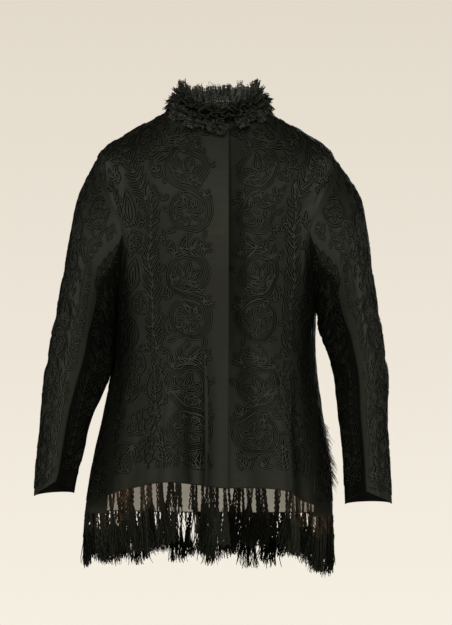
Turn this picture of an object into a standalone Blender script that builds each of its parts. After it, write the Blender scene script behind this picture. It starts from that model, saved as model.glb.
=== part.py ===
"""Dolman mantle of black silk, hollow and standing as it is worn.

Two lapped fronts, a back, two-piece sleeves set into deep armholes, a standing and a falling lace
frill at the neck with a lace rosette, raised braid scrolls, and a tasselled fringe round the hem.

Metres, +Z up. The front faces -Y and +X is the wearer's left. The origin is the middle of the
neck opening at the height of the neck points, where the wearer's shoulders carry the garment.
"""

import bisect
import math
import random
from collections import namedtuple

import bmesh
import bpy
from mathutils import Vector

# Driving dimensions

RIGHT, LEFT = -1, 1  # the wearer's sides, as the sign of X
UP = Vector((0, 0, 1))

CLOTH = 0.002  # silk with its lining
LACE = 0.001
SEAM = 0.0003  # pieces stand this far apart where they are sewn
SQUARE = 2.4  # plan of the body: 2 is an ellipse, more is squarer
SHARP_DEG = 50  # edges that turn more than this are shaded sharp

# Sections of the body from the neck seam to the hem: half widths to the two sides, the side
# point, and the middle of the front and of the back.
BodyRow = namedtuple("BodyRow", "right_x left_x side_y side_z front_y front_z back_y back_z")
BODY = (
    BodyRow(0.064, 0.072, 0.000, 0.000, -0.058, -0.034, 0.054, 0.012),
    BodyRow(0.115, 0.114, 0.004, -0.030, -0.080, -0.066, 0.074, -0.022),
    BodyRow(0.163, 0.160, 0.006, -0.056, -0.102, -0.106, 0.092, -0.066),
    BodyRow(0.221, 0.217, 0.006, -0.102, -0.122, -0.155, 0.104, -0.122),
    BodyRow(0.210, 0.207, 0.006, -0.190, -0.138, -0.220, 0.110, -0.195),
    BodyRow(0.197, 0.194, 0.006, -0.285, -0.146, -0.300, 0.108, -0.290),
    BodyRow(0.187, 0.183, 0.004, -0.385, -0.146, -0.390, 0.098, -0.390),
    BodyRow(0.191, 0.182, 0.000, -0.470, -0.146, -0.470, 0.096, -0.475),
    BodyRow(0.206, 0.193, 0.000, -0.560, -0.150, -0.555, 0.114, -0.570),
    BodyRow(0.226, 0.208, 0.000, -0.655, -0.155, -0.635, 0.136, -0.665),
    BodyRow(0.241, 0.213, 0.000, -0.745, -0.160, -0.705, 0.156, -0.760),
)
SHOULDER, UNDERARM, HEM = 3, 6, 10  # row numbers of the body sections

# Hem heights across a panel, at even steps from its first edge to its last
RIGHT_FRONT_HEM = ((-0.703,), (-0.698,), (-0.692,), (-0.697,), (-0.707,), (-0.718,))
LEFT_FRONT_HEM = ((-0.703,), (-0.703,), (-0.703,), (-0.706,), (-0.721,), (-0.736,))
BACK_HEM = ((-0.752,), (-0.762,), (-0.769,), (-0.766,), (-0.758,))

# Long soft folds: how far round from the middle front, where each starts, how far it stands out
FoldRow = namedtuple("FoldRow", "side turn_deg top_z depth width_deg")
FOLDS = (
    FoldRow(RIGHT, 9, -0.38, -0.012, 5),
    FoldRow(RIGHT, 23, -0.34, 0.010, 8),
    FoldRow(RIGHT, 39, -0.44, -0.009, 7),
    FoldRow(RIGHT, 74, -0.44, 0.008, 10),
    FoldRow(RIGHT, 104, -0.42, -0.012, 10),
    FoldRow(RIGHT, 132, -0.40, 0.012, 11),
    FoldRow(RIGHT, 158, -0.36, -0.012, 10),
    FoldRow(LEFT, 17, -0.36, -0.010, 8),
    FoldRow(LEFT, 33, -0.34, 0.010, 7),
    FoldRow(LEFT, 47, -0.42, -0.008, 6),
    FoldRow(LEFT, 72, -0.46, 0.006, 10),
    FoldRow(LEFT, 102, -0.42, -0.010, 10),
    FoldRow(LEFT, 131, -0.40, 0.012, 11),
    FoldRow(LEFT, 158, -0.36, -0.012, 10),
)

# Front closing: the right front laps over the left one
LAP = 0.022  # each front passes the middle by this much
LAP_DROP = 0.0046  # the left front lies this far behind the right one
LAP_BLEND = 0.080  # and is back on the body's surface this far from the middle

# Armholes, as turns from the middle front, and the side seam below them
SHOULDER_TURN = 90
UNDERARM_TURN = 80
HEM_SEAM_TURN = 56
FRONT_SCOOP = 27
BACK_SCOOP = 34
SCOOP_POWER = 1.25  # how gently the armhole leaves the shoulder and reaches the underarm

# Sections of a sleeve below its armhole: the outer and the inner line as seen from the front,
# the front and back of the section, and how far the front seam stands out as a crease.
SleeveRow = namedtuple("SleeveRow", "outer_x outer_z inner_x inner_z front_y back_y crease")
RIGHT_SLEEVE = (
    SleeveRow(0.254, -0.170, 0.1890, -0.405, -0.092, 0.084, 0.000),
    SleeveRow(0.269, -0.240, 0.1880, -0.428, -0.098, 0.078, 0.002),
    SleeveRow(0.285, -0.330, 0.1880, -0.458, -0.104, 0.068, 0.004),
    SleeveRow(0.302, -0.424, 0.1930, -0.498, -0.110, 0.055, 0.006),
    SleeveRow(0.316, -0.500, 0.2100, -0.540, -0.114, 0.040, 0.008),
    SleeveRow(0.322, -0.575, 0.2300, -0.585, -0.119, 0.022, 0.009),
    SleeveRow(0.328, -0.645, 0.2430, -0.643, -0.124, 0.002, 0.010),
    SleeveRow(0.333, -0.714, 0.2580, -0.708, -0.129, -0.018, 0.010),
)
LEFT_SLEEVE = (
    SleeveRow(0.262, -0.171, 0.1880, -0.403, -0.092, 0.084, 0.000),
    SleeveRow(0.277, -0.240, 0.1880, -0.418, -0.098, 0.078, 0.002),
    SleeveRow(0.289, -0.330, 0.1910, -0.436, -0.104, 0.068, 0.004),
    SleeveRow(0.303, -0.424, 0.2030, -0.462, -0.110, 0.055, 0.006),
    SleeveRow(0.314, -0.500, 0.2140, -0.508, -0.114, 0.040, 0.008),
    SleeveRow(0.312, -0.575, 0.2210, -0.570, -0.119, 0.022, 0.009),
    SleeveRow(0.315, -0.645, 0.2290, -0.645, -0.124, 0.002, 0.010),
    SleeveRow(0.319, -0.728, 0.2320, -0.728, -0.129, -0.018, 0.010),
)
FRONT_SEAM_DEG = 97  # the sleeve's front seam, round the section from its outer line
CREASE_WIDTH_DEG = 48
INNER_FORWARD = 0.030  # the inner line of the sleeve lies this far in front of the section's middle
CUFF_NOTCH = 0.026  # the cuff opens in a point at the front seam
CUFF_NOTCH_DEG = 85

# Neck frills, in metres along the neck and down the panels
STAND_WAVES, FALL_WAVES = 26, 24
FRILL_SHARES = (0.0, 0.5, 1.0)  # rows of a frill, from its gathered edge to its free edge
STAND_RISE = ((0.034,), (0.041,), (0.036,), (0.028,), (0.024,), (0.030,), (0.040,), (0.044,), (0.034,))
STAND_ENDS = 0.002  # the two ends of the standing frill stop this far apart from the closing edge
FRILL_CLEAR = 0.0009  # the standing frill rises this far above the neck edge
NECK_EDGE_ROW = 0.2  # a little below the neck edge, which gives the way the panel runs there
STAND_LEAN = 0.009
STAND_WAVE = 0.0042
FALL_LENGTH = 0.024
FALL_FIRST_ROW = 0.06  # body row of its gathered edge
FALL_FRONT_GAP, FALL_ROSETTE_GAP = 0.004, 0.003  # from the closing edge and from the rosette
FALL_LIFT = ((0.003,), (0.007,), (0.011,), (0.009,), (0.006,), (0.009,), (0.011,), (0.007,), (0.003,))
FALL_WAVE = 0.0036
ROSETTE_X, ROSETTE_Z = 0.000, -0.052
ROSETTE_INNER, ROSETTE_OUTER = 0.004, 0.019
ROSETTE_WAVES = 9
ROSETTE_WAVE = 0.003
ROSETTE_INNER_WAVE = 0.4  # how much of the waves is left at the rosette's inner edge

# Fringe: a narrow heading below the hem, with one tassel to each step along it
HEADING = 0.005
HEADING_DEEP = 0.0024
TASSEL_STEP = 0.0098
TASSEL_LENGTH = 0.120
TASSEL_UNEVEN = 0.10
TasselRow = namedtuple("TasselRow", "share width depth")
TASSEL = (TasselRow(0.05, 0.0040, 0.0024), TasselRow(0.55, 0.0072, 0.0044), TasselRow(1.0, 0.0022, 0.0016))
LEFT_FRINGE_COLUMN = 3  # the left front's fringe starts here, clear of the right front's
SIDE_FRINGE_COLUMNS = {RIGHT: 5, LEFT: -4}  # columns of the back, counted from its right edge
SIDE_FRINGE_ROWS = 2  # rows of the back that it runs down
SIDE_TASSEL_STEP = 0.012
SIDE_TASSEL_LENGTH = 0.013

# Braid scrolls, placed by metres across from a panel's guide line and down it
FRONT_SCROLLS_DOWN = (0.155, 0.349, 0.551)
BACK_SCROLLS_DOWN = (0.150, 0.360, 0.575)
SLEEVE_SCROLLS_DOWN = (0.140, 0.312, 0.484)
RIGHT_FRONT_ACROSS, LEFT_FRONT_ACROSS = 0.072, 0.096
BACK_ACROSS = 0.070
SLEEVE_ACROSS = 0.066
FRONT_EYE, SLEEVE_EYE = 0.040, 0.030  # from the middle of a scroll to each eye
SCROLL_TURNS = 1.2
SCROLL_STEPS = 10
SCROLL_INNER = 0.62  # the radius at the eye, as a share of the outer one
SCROLL_POWER = 0.8  # how soon a spiral widens from its eye
BRAID_HALF = 0.0021
BRAID_HIGH = 0.0019
BRAID_LIFT = 0.0007
BULGE_SHARES = (0.25, 0.5, 0.75)

# Mesh divisions
YOKE_STEPS, ARMHOLE_STEPS, SKIRT_STEPS = 4, 10, 7
FRONT_COLUMNS, BACK_COLUMNS = 12, 22
SLEEVE_STEPS = 15
FRILL_STEPS = 4  # along each wave
WAVE_PHASE = math.pi / 4  # puts a frill's points on its crests and troughs
SMALL_ROW, SMALL_TURN = 0.02, 0.03  # steps that a surface normal is taken over
WIDEST_LAP = 0.95  # the most a lap may take of the body's half width
HALVINGS = 40  # to find a point of the front from its x and z
SEED = 7

PANEL_ROWS = (
    [SHOULDER * i / YOKE_STEPS for i in range(YOKE_STEPS)]
    + [SHOULDER + (UNDERARM - SHOULDER) * i / ARMHOLE_STEPS for i in range(ARMHOLE_STEPS)]
    + [UNDERARM + (HEM - UNDERARM) * i / SKIRT_STEPS for i in range(SKIRT_STEPS + 1)]
)
ARMHOLE_FIRST, ARMHOLE_LAST = YOKE_STEPS, YOKE_STEPS + ARMHOLE_STEPS


# Curves

def spline(rows, at):
    """A smooth curve through evenly spaced rows of numbers, read at row number at."""
    last = len(rows) - 1
    i = max(0, min(int(at), last - 1))
    f = at - i
    a, b, c, d = (rows[max(0, min(last, i + k))] for k in (-1, 0, 1, 2))
    return [
        0.5 * (2 * q + (r - p) * f + (2 * p - 5 * q + 4 * r - s) * f * f + (3 * q - p - 3 * r + s) * f**3)
        for p, q, r, s in zip(a, b, c, d)
    ]


def ease(t):
    t = max(0.0, min(1.0, t))
    return t * t * (3 - 2 * t)


def towards(start, end, distance):
    return start + (end - start).normalized() * distance


# The body's surface, which every panel is cut from

def half_width(side, row):
    ring = BodyRow(*spline(BODY, row))
    return ring.right_x if side == RIGHT else ring.left_x


def outward(side, turn):
    return Vector((side * math.sin(turn), -math.cos(turn), 0))


def fold_depth(side, turn, z):
    depth = 0.0
    for fold in FOLDS:
        away = abs(side * math.degrees(turn) - fold.side * fold.turn_deg)
        away = min(away, 360 - away) / fold.width_deg
        grown = ease((fold.top_z - z) / (fold.top_z - BODY[HEM].side_z))
        depth += fold.depth * grown * math.exp(-away * away)
    return depth


def body_point(side, row, turn):
    """A point of the body at a section and at a turn from the middle front, in radians."""
    if turn < 0 or turn > math.pi:
        side, turn = -side, abs(turn) if turn < 0 else math.tau - turn
    ring = BodyRow(*spline(BODY, row))
    half = ring.right_x if side == RIGHT else ring.left_x
    across = math.sin(turn)
    deep = max(0.0, 1 - abs(across) ** SQUARE) ** (1 / SQUARE)
    facing_front = math.cos(turn) > 0
    middle_y = ring.front_y if facing_front else ring.back_y
    middle_z = ring.front_z if facing_front else ring.back_z
    point = Vector((
        side * half * across,
        ring.side_y + (middle_y - ring.side_y) * deep,
        ring.side_z + (middle_z - ring.side_z) * math.cos(turn) ** 2,
    ))
    return point + outward(side, turn) * fold_depth(side, turn, point.z)


def body_normal(side, row, turn):
    low, high = max(0.0, row - SMALL_ROW), min(HEM, row + SMALL_ROW)
    down = body_point(side, high, turn) - body_point(side, low, turn)
    around = body_point(side, row, turn + SMALL_TURN) - body_point(side, row, turn - SMALL_TURN)
    return down.cross(around).normalized() * side


def seam_turn(row, scoop):
    """Where a panel ends: on the shoulder, round the armhole, then down the side seam."""
    if row <= SHOULDER:
        return math.radians(SHOULDER_TURN)
    if row < UNDERARM:
        share = (row - SHOULDER) / (UNDERARM - SHOULDER)
        straight = SHOULDER_TURN + (UNDERARM_TURN - SHOULDER_TURN) * share
        return math.radians(straight + scoop * math.sin(math.pi * share) ** SCOOP_POWER)
    share = ease((row - UNDERARM) / (HEM - UNDERARM))
    return math.radians(UNDERARM_TURN + (HEM_SEAM_TURN - UNDERARM_TURN) * share)


# Walls: a grid of outer points, and the same grid moved in along the normals

def add_object(name, mesh, material):
    mesh.shade_smooth()
    mesh.set_sharp_from_angle(angle=math.radians(SHARP_DEG))
    mesh.materials.append(material)
    obj = bpy.data.objects.new(name, mesh)
    bpy.context.scene.collection.objects.link(obj)
    return obj


def solid_from(name, points, faces, material):
    """A closed mesh from points and faces, with every face turned outwards."""
    shape = bmesh.new()
    corners = [shape.verts.new(point) for point in points]
    for face in faces:
        shape.faces.new([corners[i] for i in face])
    bmesh.ops.recalc_face_normals(shape, faces=shape.faces)
    bmesh.ops.triangulate(shape, faces=shape.faces, quad_method="FIXED")
    mesh = bpy.data.meshes.new(name)
    shape.to_mesh(mesh)
    shape.free()
    return add_object(name, mesh, material)


def wall(name, grid, normals, thickness, material, ring=False):
    """The closed wall between a grid and its inner copy. In a ring the last column meets the first."""
    rows, columns = len(grid), len(grid[0])
    points = [p for row in grid for p in row]
    inner_start = len(points)
    points += [p - n * thickness for row, ns in zip(grid, normals) for p, n in zip(row, ns)]

    def outer(i, j):
        return i * columns + j % columns

    def inner(i, j):
        return inner_start + outer(i, j)

    faces = []
    last = columns if ring else columns - 1
    for i in range(rows - 1):
        for j in range(last):
            faces.append((outer(i, j), outer(i + 1, j), outer(i + 1, j + 1), outer(i, j + 1)))
            faces.append((inner(i, j), inner(i, j + 1), inner(i + 1, j + 1), inner(i + 1, j)))
    for i in (0, rows - 1):
        for j in range(last):
            faces.append((outer(i, j), outer(i, j + 1), inner(i, j + 1), inner(i, j)))
    if not ring:
        for j in (0, columns - 1):
            for i in range(rows - 1):
                faces.append((outer(i, j), inner(i, j), inner(i + 1, j), outer(i + 1, j)))
    return solid_from(name, points, faces, material)


def grid_normals(grid, ring=False):
    """Normals of a grid from its own points; a ring's columns run round."""
    rows, columns = len(grid), len(grid[0])
    normals = []
    for i in range(rows):
        line = []
        for j in range(columns):
            down = grid[min(i + 1, rows - 1)][j] - grid[max(i - 1, 0)][j]
            if ring:
                along = grid[i][(j + 1) % columns] - grid[i][j - 1]
            else:
                along = grid[i][min(j + 1, columns - 1)] - grid[i][max(j - 1, 0)]
            line.append(down.cross(along).normalized())
        normals.append(line)
    return normals


def draw_back(grid, first_row=0, last_row=0, first_column=0, last_column=0):
    """Moves the named edges of a grid in by a distance, so that neighbours stand a seam apart."""
    if first_column or last_column:
        for row in grid:
            row[0], row[-1] = towards(row[0], row[1], first_column), towards(row[-1], row[-2], last_column)
    for j in range(len(grid[0])):
        grid[0][j] = towards(grid[0][j], grid[1][j], first_row)
        grid[-1][j] = towards(grid[-1][j], grid[-2][j], last_row)


def set_hem(grid, heights):
    """Stretches the skirt rows so that the last row ends at the hem's heights."""
    columns = len(grid[0]) - 1
    for j in range(columns + 1):
        wanted = spline(heights, (len(heights) - 1) * j / columns)[0]
        change = wanted - grid[-1][j].z
        for i in range(ARMHOLE_LAST, len(grid)):
            share = (i - ARMHOLE_LAST) / (len(grid) - 1 - ARMHOLE_LAST)
            grid[i][j] = grid[i][j] + UP * change * share * share


# Sleeves

def armhole_loop(side):
    """Points and body normals round an armhole: down its front edge and up its back edge."""
    rows = PANEL_ROWS[ARMHOLE_FIRST:ARMHOLE_LAST + 1]
    places = [(row, seam_turn(row, -FRONT_SCOOP)) for row in rows]
    places += [(row, seam_turn(row, BACK_SCOOP)) for row in rows[-2:0:-1]]
    return [body_point(side, *p) for p in places], [body_normal(side, *p) for p in places]


def sleeve_angle(j):
    """The angle round a section for a column, with the front seam a quarter of the columns along."""
    quarter = ARMHOLE_STEPS / 2
    seam = math.radians(FRONT_SEAM_DEG)
    if j <= quarter:
        return seam * j / quarter
    if j <= 2 * quarter:
        return seam + (math.pi - seam) * (j / quarter - 1)
    return math.pi * j / (2 * quarter)


def sleeve_ring(side, section):
    outer = Vector((side * section.outer_x, 0, section.outer_z))
    inner = Vector((side * section.inner_x, 0, section.inner_z))
    middle_y = (section.front_y + section.back_y) / 2
    half_y = (section.back_y - section.front_y) / 2
    ring = []
    for j in range(2 * ARMHOLE_STEPS):
        angle = sleeve_angle(j)
        point = (outer + inner) / 2 + (outer - inner) / 2 * math.cos(angle)
        from_seam = abs(math.degrees(angle) - FRONT_SEAM_DEG)
        crease = section.crease * max(0.0, 1 - from_seam / CREASE_WIDTH_DEG)
        inwards = (1 - math.cos(angle)) / 2
        point.y = middle_y - half_y * math.sin(angle) - crease - INNER_FORWARD * inwards * inwards
        ring.append(point)
    return ring


def sleeve_grid(side):
    """All rows of a sleeve's outer face, from the armhole to the cuff."""
    sections = RIGHT_SLEEVE if side == RIGHT else LEFT_SLEEVE
    rings = [armhole_loop(side)[0]] + [sleeve_ring(side, section) for section in sections]
    columns = [[tuple(ring[j]) for ring in rings] for j in range(2 * ARMHOLE_STEPS)]
    stations = [(len(rings) - 1) * i / SLEEVE_STEPS for i in range(SLEEVE_STEPS + 1)]
    grid = [[Vector(spline(column, at)) for column in columns] for at in stations]
    for j, point in enumerate(grid[-1]):
        from_seam = abs(math.degrees(sleeve_angle(j)) - FRONT_SEAM_DEG)
        point.z += CUFF_NOTCH * max(0.0, 1 - from_seam / CUFF_NOTCH_DEG) - CUFF_NOTCH / 3
    return grid


def armhole_mitre(side, sleeve_normals):
    """One direction for both walls at each point of the armhole seam."""
    loop, body_normals = armhole_loop(side)
    middle = sum(loop, Vector()) / len(loop)
    return [
        (a + b + (point - middle).normalized()).normalized()
        for a, b, point in zip(body_normals, sleeve_normals, loop)
    ]


def sleeve_faces(side):
    """A sleeve's outer face and its wall directions, with the armhole seam mitred."""
    grid = sleeve_grid(side)
    normals = grid_normals(grid, ring=True)
    if side == LEFT:
        normals = [[-n for n in row] for row in normals]
    normals[0] = armhole_mitre(side, normals[0])
    return grid, normals


def sleeve_piece(side, name, first, material):
    """Half of a sleeve, from column first, between the front seam and the back seam."""
    grid, normals = sleeve_faces(side)
    around = 2 * ARMHOLE_STEPS
    columns = [(first + k) % around for k in range(ARMHOLE_STEPS + 1)]
    piece = [[row[j] for j in columns] for row in grid]
    draw_back(piece, first_row=SEAM, first_column=SEAM / 2, last_column=SEAM / 2)
    ways = [[row[j] for j in columns] for row in normals]
    wall(name, piece, ways, CLOTH, material)
    return piece, ways


# Fronts and back

def front_panel(side, name, material):
    mitre = sleeve_faces(side)[1][0]
    grid, normals = [], []
    for i, row in enumerate(PANEL_ROWS):
        first = -math.asin(min(WIDEST_LAP, LAP / half_width(side, row)))
        last = seam_turn(row, -FRONT_SCOOP)
        turns = [first + (last - first) * j / FRONT_COLUMNS for j in range(FRONT_COLUMNS + 1)]
        line = [body_point(side, row, turn) for turn in turns]
        ways = [body_normal(side, row, turn) for turn in turns]
        if side == LEFT:
            drops = [LAP_DROP * ease((LAP_BLEND - p.x) / (LAP_BLEND - LAP)) for p in line]
            line = [p - n * drop for p, n, drop in zip(line, ways, drops)]
        if ARMHOLE_FIRST <= i <= ARMHOLE_LAST:
            ways[-1] = mitre[i - ARMHOLE_FIRST]
        grid.append(line)
        normals.append(ways)
    set_hem(grid, RIGHT_FRONT_HEM if side == RIGHT else LEFT_FRONT_HEM)
    draw_back(grid, last_column=SEAM / 2)
    wall(name, grid, normals, CLOTH, material)
    return grid, normals


def back_panel(name, material):
    mitres = {side: sleeve_faces(side)[1][0] for side in (RIGHT, LEFT)}
    half = BACK_COLUMNS // 2
    grid, normals = [], []
    for i, row in enumerate(PANEL_ROWS):
        first = seam_turn(row, BACK_SCOOP)
        turns = [first + (math.pi - first) * j / half for j in range(half + 1)]
        places = [(RIGHT, turn) for turn in turns] + [(LEFT, turn) for turn in turns[-2::-1]]
        ways = [body_normal(side, row, turn) for side, turn in places]
        if ARMHOLE_FIRST <= i <= ARMHOLE_LAST:
            ways[0] = mitres[RIGHT][-(i - ARMHOLE_FIRST)]
            ways[-1] = mitres[LEFT][-(i - ARMHOLE_FIRST)]
            if i == ARMHOLE_LAST:
                ways[0], ways[-1] = mitres[RIGHT][ARMHOLE_STEPS], mitres[LEFT][ARMHOLE_STEPS]
        grid.append([body_point(side, row, turn) for side, turn in places])
        normals.append(ways)
    set_hem(grid, BACK_HEM)
    draw_back(grid, first_column=SEAM / 2, last_column=SEAM / 2)
    wall(name, grid, normals, CLOTH, material)
    return grid, normals


# Neck frills

def neck_place(angle):
    """Side and turn of a point of the neck, for an angle from the middle front round by the left."""
    angle %= math.tau
    return (LEFT, angle) if angle <= math.pi else (RIGHT, math.tau - angle)


def neck_angles(first_x, last_x, count):
    """Even steps round the neck from first_x on the left front to last_x on the right one."""
    first = math.asin(first_x / half_width(LEFT, 0))
    last = math.tau + math.asin(last_x / half_width(RIGHT, 0))
    return [first + (last - first) * k / count for k in range(count + 1)]


def standing_frill(material):
    """Stands on the neck seam and leans outwards, in waves that grow towards its free edge."""
    count = STAND_WAVES * FRILL_STEPS
    grid = [[], [], []]
    for k, angle in enumerate(neck_angles(LAP + STAND_ENDS, LAP - STAND_ENDS, count)):
        side, turn = neck_place(angle)
        base = body_point(side, 0, turn) - body_normal(side, 0, turn) * CLOTH / 2
        base = towards(base, base * 2 - body_point(side, NECK_EDGE_ROW, turn), FRILL_CLEAR)
        out = outward(side, turn)
        wave = math.sin(math.tau * k / FRILL_STEPS + WAVE_PHASE)
        rise = spline(STAND_RISE, (len(STAND_RISE) - 1) * k / count)[0]
        for i, share in enumerate(FRILL_SHARES):
            aside = STAND_LEAN * share * share + STAND_WAVE * wave * share
            grid[i].append(base + UP * rise * share + out * aside)
    normals = [[-n for n in row] for row in grid_normals(grid)]
    wall("frill_standing", grid, normals, LACE, material)


def falling_frill(material):
    """Lies on the fronts and back below the neck seam, from the closing edge to the rosette."""
    count = FALL_WAVES * FRILL_STEPS
    row_step = FALL_LENGTH / (body_point(LEFT, 0, 0) - body_point(LEFT, 1, 0)).length
    grid, normals = [[], [], []], [[], [], []]
    for k, angle in enumerate(neck_angles(LAP + FALL_FRONT_GAP, -ROSETTE_OUTER - FALL_ROSETTE_GAP, count)):
        side, turn = neck_place(angle)
        wave = 0.5 + 0.5 * math.sin(math.tau * k / FRILL_STEPS + WAVE_PHASE)
        for i, share in enumerate(FRILL_SHARES):
            row = FALL_FIRST_ROW + row_step * share
            normal = body_normal(side, row, turn)
            stand_off = spline(FALL_LIFT, (len(FALL_LIFT) - 1) * k / count)[0]
            lift = LACE + 3 * SEAM + (stand_off + 2 * FALL_WAVE * wave) * share
            grid[i].append(body_point(side, row, turn) + normal * lift)
            normals[i].append(normal)
    wall("frill_falling", grid, normals, LACE, material)


def front_place(side, x, z):
    """The section and turn of the front point at x and z."""
    low, high = 0.0, float(UNDERARM)
    for _ in range(HALVINGS):
        row = (low + high) / 2
        turn = math.asin(max(-1.0, min(1.0, side * x / half_width(side, row))))
        low, high = (row, high) if body_point(side, row, turn).z > z else (low, row)
    return row, turn


def rosette(material):
    """A pleated ring of lace on the right front, beside the closing edge."""
    count = ROSETTE_WAVES * FRILL_STEPS
    grid, normals = [[], []], [[], []]
    for k in range(count):
        angle = math.tau * k / count
        wave = 0.5 + 0.5 * math.sin(math.tau * k / FRILL_STEPS + WAVE_PHASE)
        for i, radius in enumerate((ROSETTE_INNER, ROSETTE_OUTER)):
            x = ROSETTE_X + radius * math.cos(angle)
            z = ROSETTE_Z + radius * math.sin(angle)
            row, turn = front_place(RIGHT, x, z)
            normal = body_normal(RIGHT, row, turn)
            lift = LACE + 2 * SEAM + 2 * ROSETTE_WAVE * wave * (ROSETTE_INNER_WAVE if i == 0 else 1.0)
            grid[i].append(body_point(RIGHT, row, turn) + normal * lift)
            normals[i].append(normal)
    wall("rosette", grid, normals, LACE, material, ring=True)


# Fringe

def even_points(line, step):
    """Points at even steps along a line of points, ends included."""
    lengths = [0.0]
    for a, b in zip(line, line[1:]):
        lengths.append(lengths[-1] + (b - a).length)
    count = round(lengths[-1] / step)
    points = []
    for k in range(count + 1):
        wanted = lengths[-1] * k / count
        i = min(max(bisect.bisect_right(lengths, wanted) - 1, 0), len(line) - 2)
        points.append(line[i].lerp(line[i + 1], (wanted - lengths[i]) / (lengths[i + 1] - lengths[i])))
    return points


def tasselled_heading(name, tops, downs, outs, lengths, material):
    """A heading along tops, with one tassel drawn out of its lower face between each pair of points."""
    points, faces = [], []
    for top, down, out in zip(tops, downs, outs):
        deep = out * HEADING_DEEP / 2
        points += [top + deep, top - deep, top - deep + down * HEADING, top + deep + down * HEADING]
    for corner in (0, 4 * (len(tops) - 1)):
        faces.append((corner, corner + 1, corner + 2, corner + 3))
    for k, length in enumerate(lengths):
        a, b = 4 * k, 4 * k + 4
        faces += [(a, b, b + 1, a + 1), (a, a + 3, b + 3, b), (a + 1, b + 1, b + 2, a + 2)]
        along = (tops[k + 1] - tops[k]).normalized()
        root = (tops[k] + tops[k + 1]) / 2 + downs[k] * HEADING
        ring = (a + 3, b + 3, b + 2, a + 2)
        for section in TASSEL:
            middle = root + downs[k] * length * section.share
            half_w, half_d = along * section.width / 2, outs[k] * section.depth / 2
            start = len(points)
            points += [middle - half_w + half_d, middle + half_w + half_d]
            points += [middle + half_w - half_d, middle - half_w - half_d]
            new = tuple(range(start, start + 4))
            faces += [(ring[c], new[c], new[(c + 1) % 4], ring[(c + 1) % 4]) for c in range(4)]
            ring = new
        faces.append(ring)
    return solid_from(name, points, faces, material)


def hem_fringe(name, grid, normals, first_column, rng, material):
    """A tasselled heading below a panel's hem, from a column of the panel to its last edge."""
    line = [
        grid[-1][j] - normals[-1][j] * CLOTH / 2 - UP * SEAM
        for j in range(first_column, len(grid[0]))
    ]
    line[0] = towards(line[0], line[1], 2 * SEAM)
    line[-1] = towards(line[-1], line[-2], 2 * SEAM)
    tops = even_points(line, TASSEL_STEP)
    outs = []
    for k in range(len(tops)):
        along = tops[min(k + 1, len(tops) - 1)] - tops[max(k - 1, 0)]
        outs.append(along.cross(UP).normalized())
    lengths = [
        TASSEL_LENGTH * (1 + TASSEL_UNEVEN * rng.uniform(-1, 1)) - HEADING
        for _ in range(len(tops) - 1)
    ]
    return tasselled_heading(name, tops, [-UP] * len(tops), outs, lengths, material)


def side_fringe(name, grid, normals, column, material):
    """A short fringe down a column of the back, above its hem, with tassels that point out and down."""
    rows = range(len(grid) - SIDE_FRINGE_ROWS - 2, len(grid) - 1)
    line = [grid[i][column] + normals[i][column] * 2 * SEAM for i in rows]
    tops = even_points(line, SIDE_TASSEL_STEP)
    normal = normals[rows[0]][column]
    across = normal.cross(UP).normalized()
    downs, outs = [(normal - UP).normalized()] * len(tops), [across] * len(tops)
    lengths = [SIDE_TASSEL_LENGTH] * (len(tops) - 1)
    return tasselled_heading(name, tops, downs, outs, lengths, material)


# Braid scrolls

def flat_place(grid, guide_column, across, down):
    """The point of a panel that lies down its guide column and then across along the rows, and its cell."""
    i, gone = 0, 0.0
    while i < len(grid) - 2:
        step = (grid[i + 1][guide_column] - grid[i][guide_column]).length
        if gone + step > down:
            break
        gone += step
        i += 1
    share = (down - gone) / (grid[i + 1][guide_column] - grid[i][guide_column]).length
    line = [a.lerp(b, share) for a, b in zip(grid[i], grid[i + 1])]
    j, way, left = guide_column, (1 if across >= 0 else -1), abs(across)
    while 0 <= j + way < len(line) and left > (line[j + way] - line[j]).length:
        left -= (line[j + way] - line[j]).length
        j += way
    end = min(max(j + way, 0), len(line) - 1)
    point = towards(line[j], line[end], left) if end != j else line[j]
    return point, (i, j)


def scroll_line(reach):
    """An S of two spirals: (across, down) from its middle, from one eye to the other."""
    count = round(SCROLL_TURNS * SCROLL_STEPS)
    half = []
    for k in range(count + 1):
        share = k / count
        radius = reach * (SCROLL_INNER + (1 - SCROLL_INNER) * share ** SCROLL_POWER)
        angle = math.pi / 2 - math.tau * SCROLL_TURNS * (1 - share)
        half.append((radius * math.cos(angle), -reach + radius * math.sin(angle)))
    return half + [(-x, -y) for x, y in reversed(half[:-1])]


def braid_edges(line):
    """The two edges of a braid that follows a flat line, as flat points."""
    edges = ([], [])
    for k, (x, y) in enumerate(line):
        ahead, behind = line[min(k + 1, len(line) - 1)], line[max(k - 1, 0)]
        way = Vector((ahead[0] - behind[0], ahead[1] - behind[1])).normalized() * BRAID_HALF
        edges[0].append((x - way.y, y + way.x))
        edges[1].append((x + way.y, y - way.x))
    return edges


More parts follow.
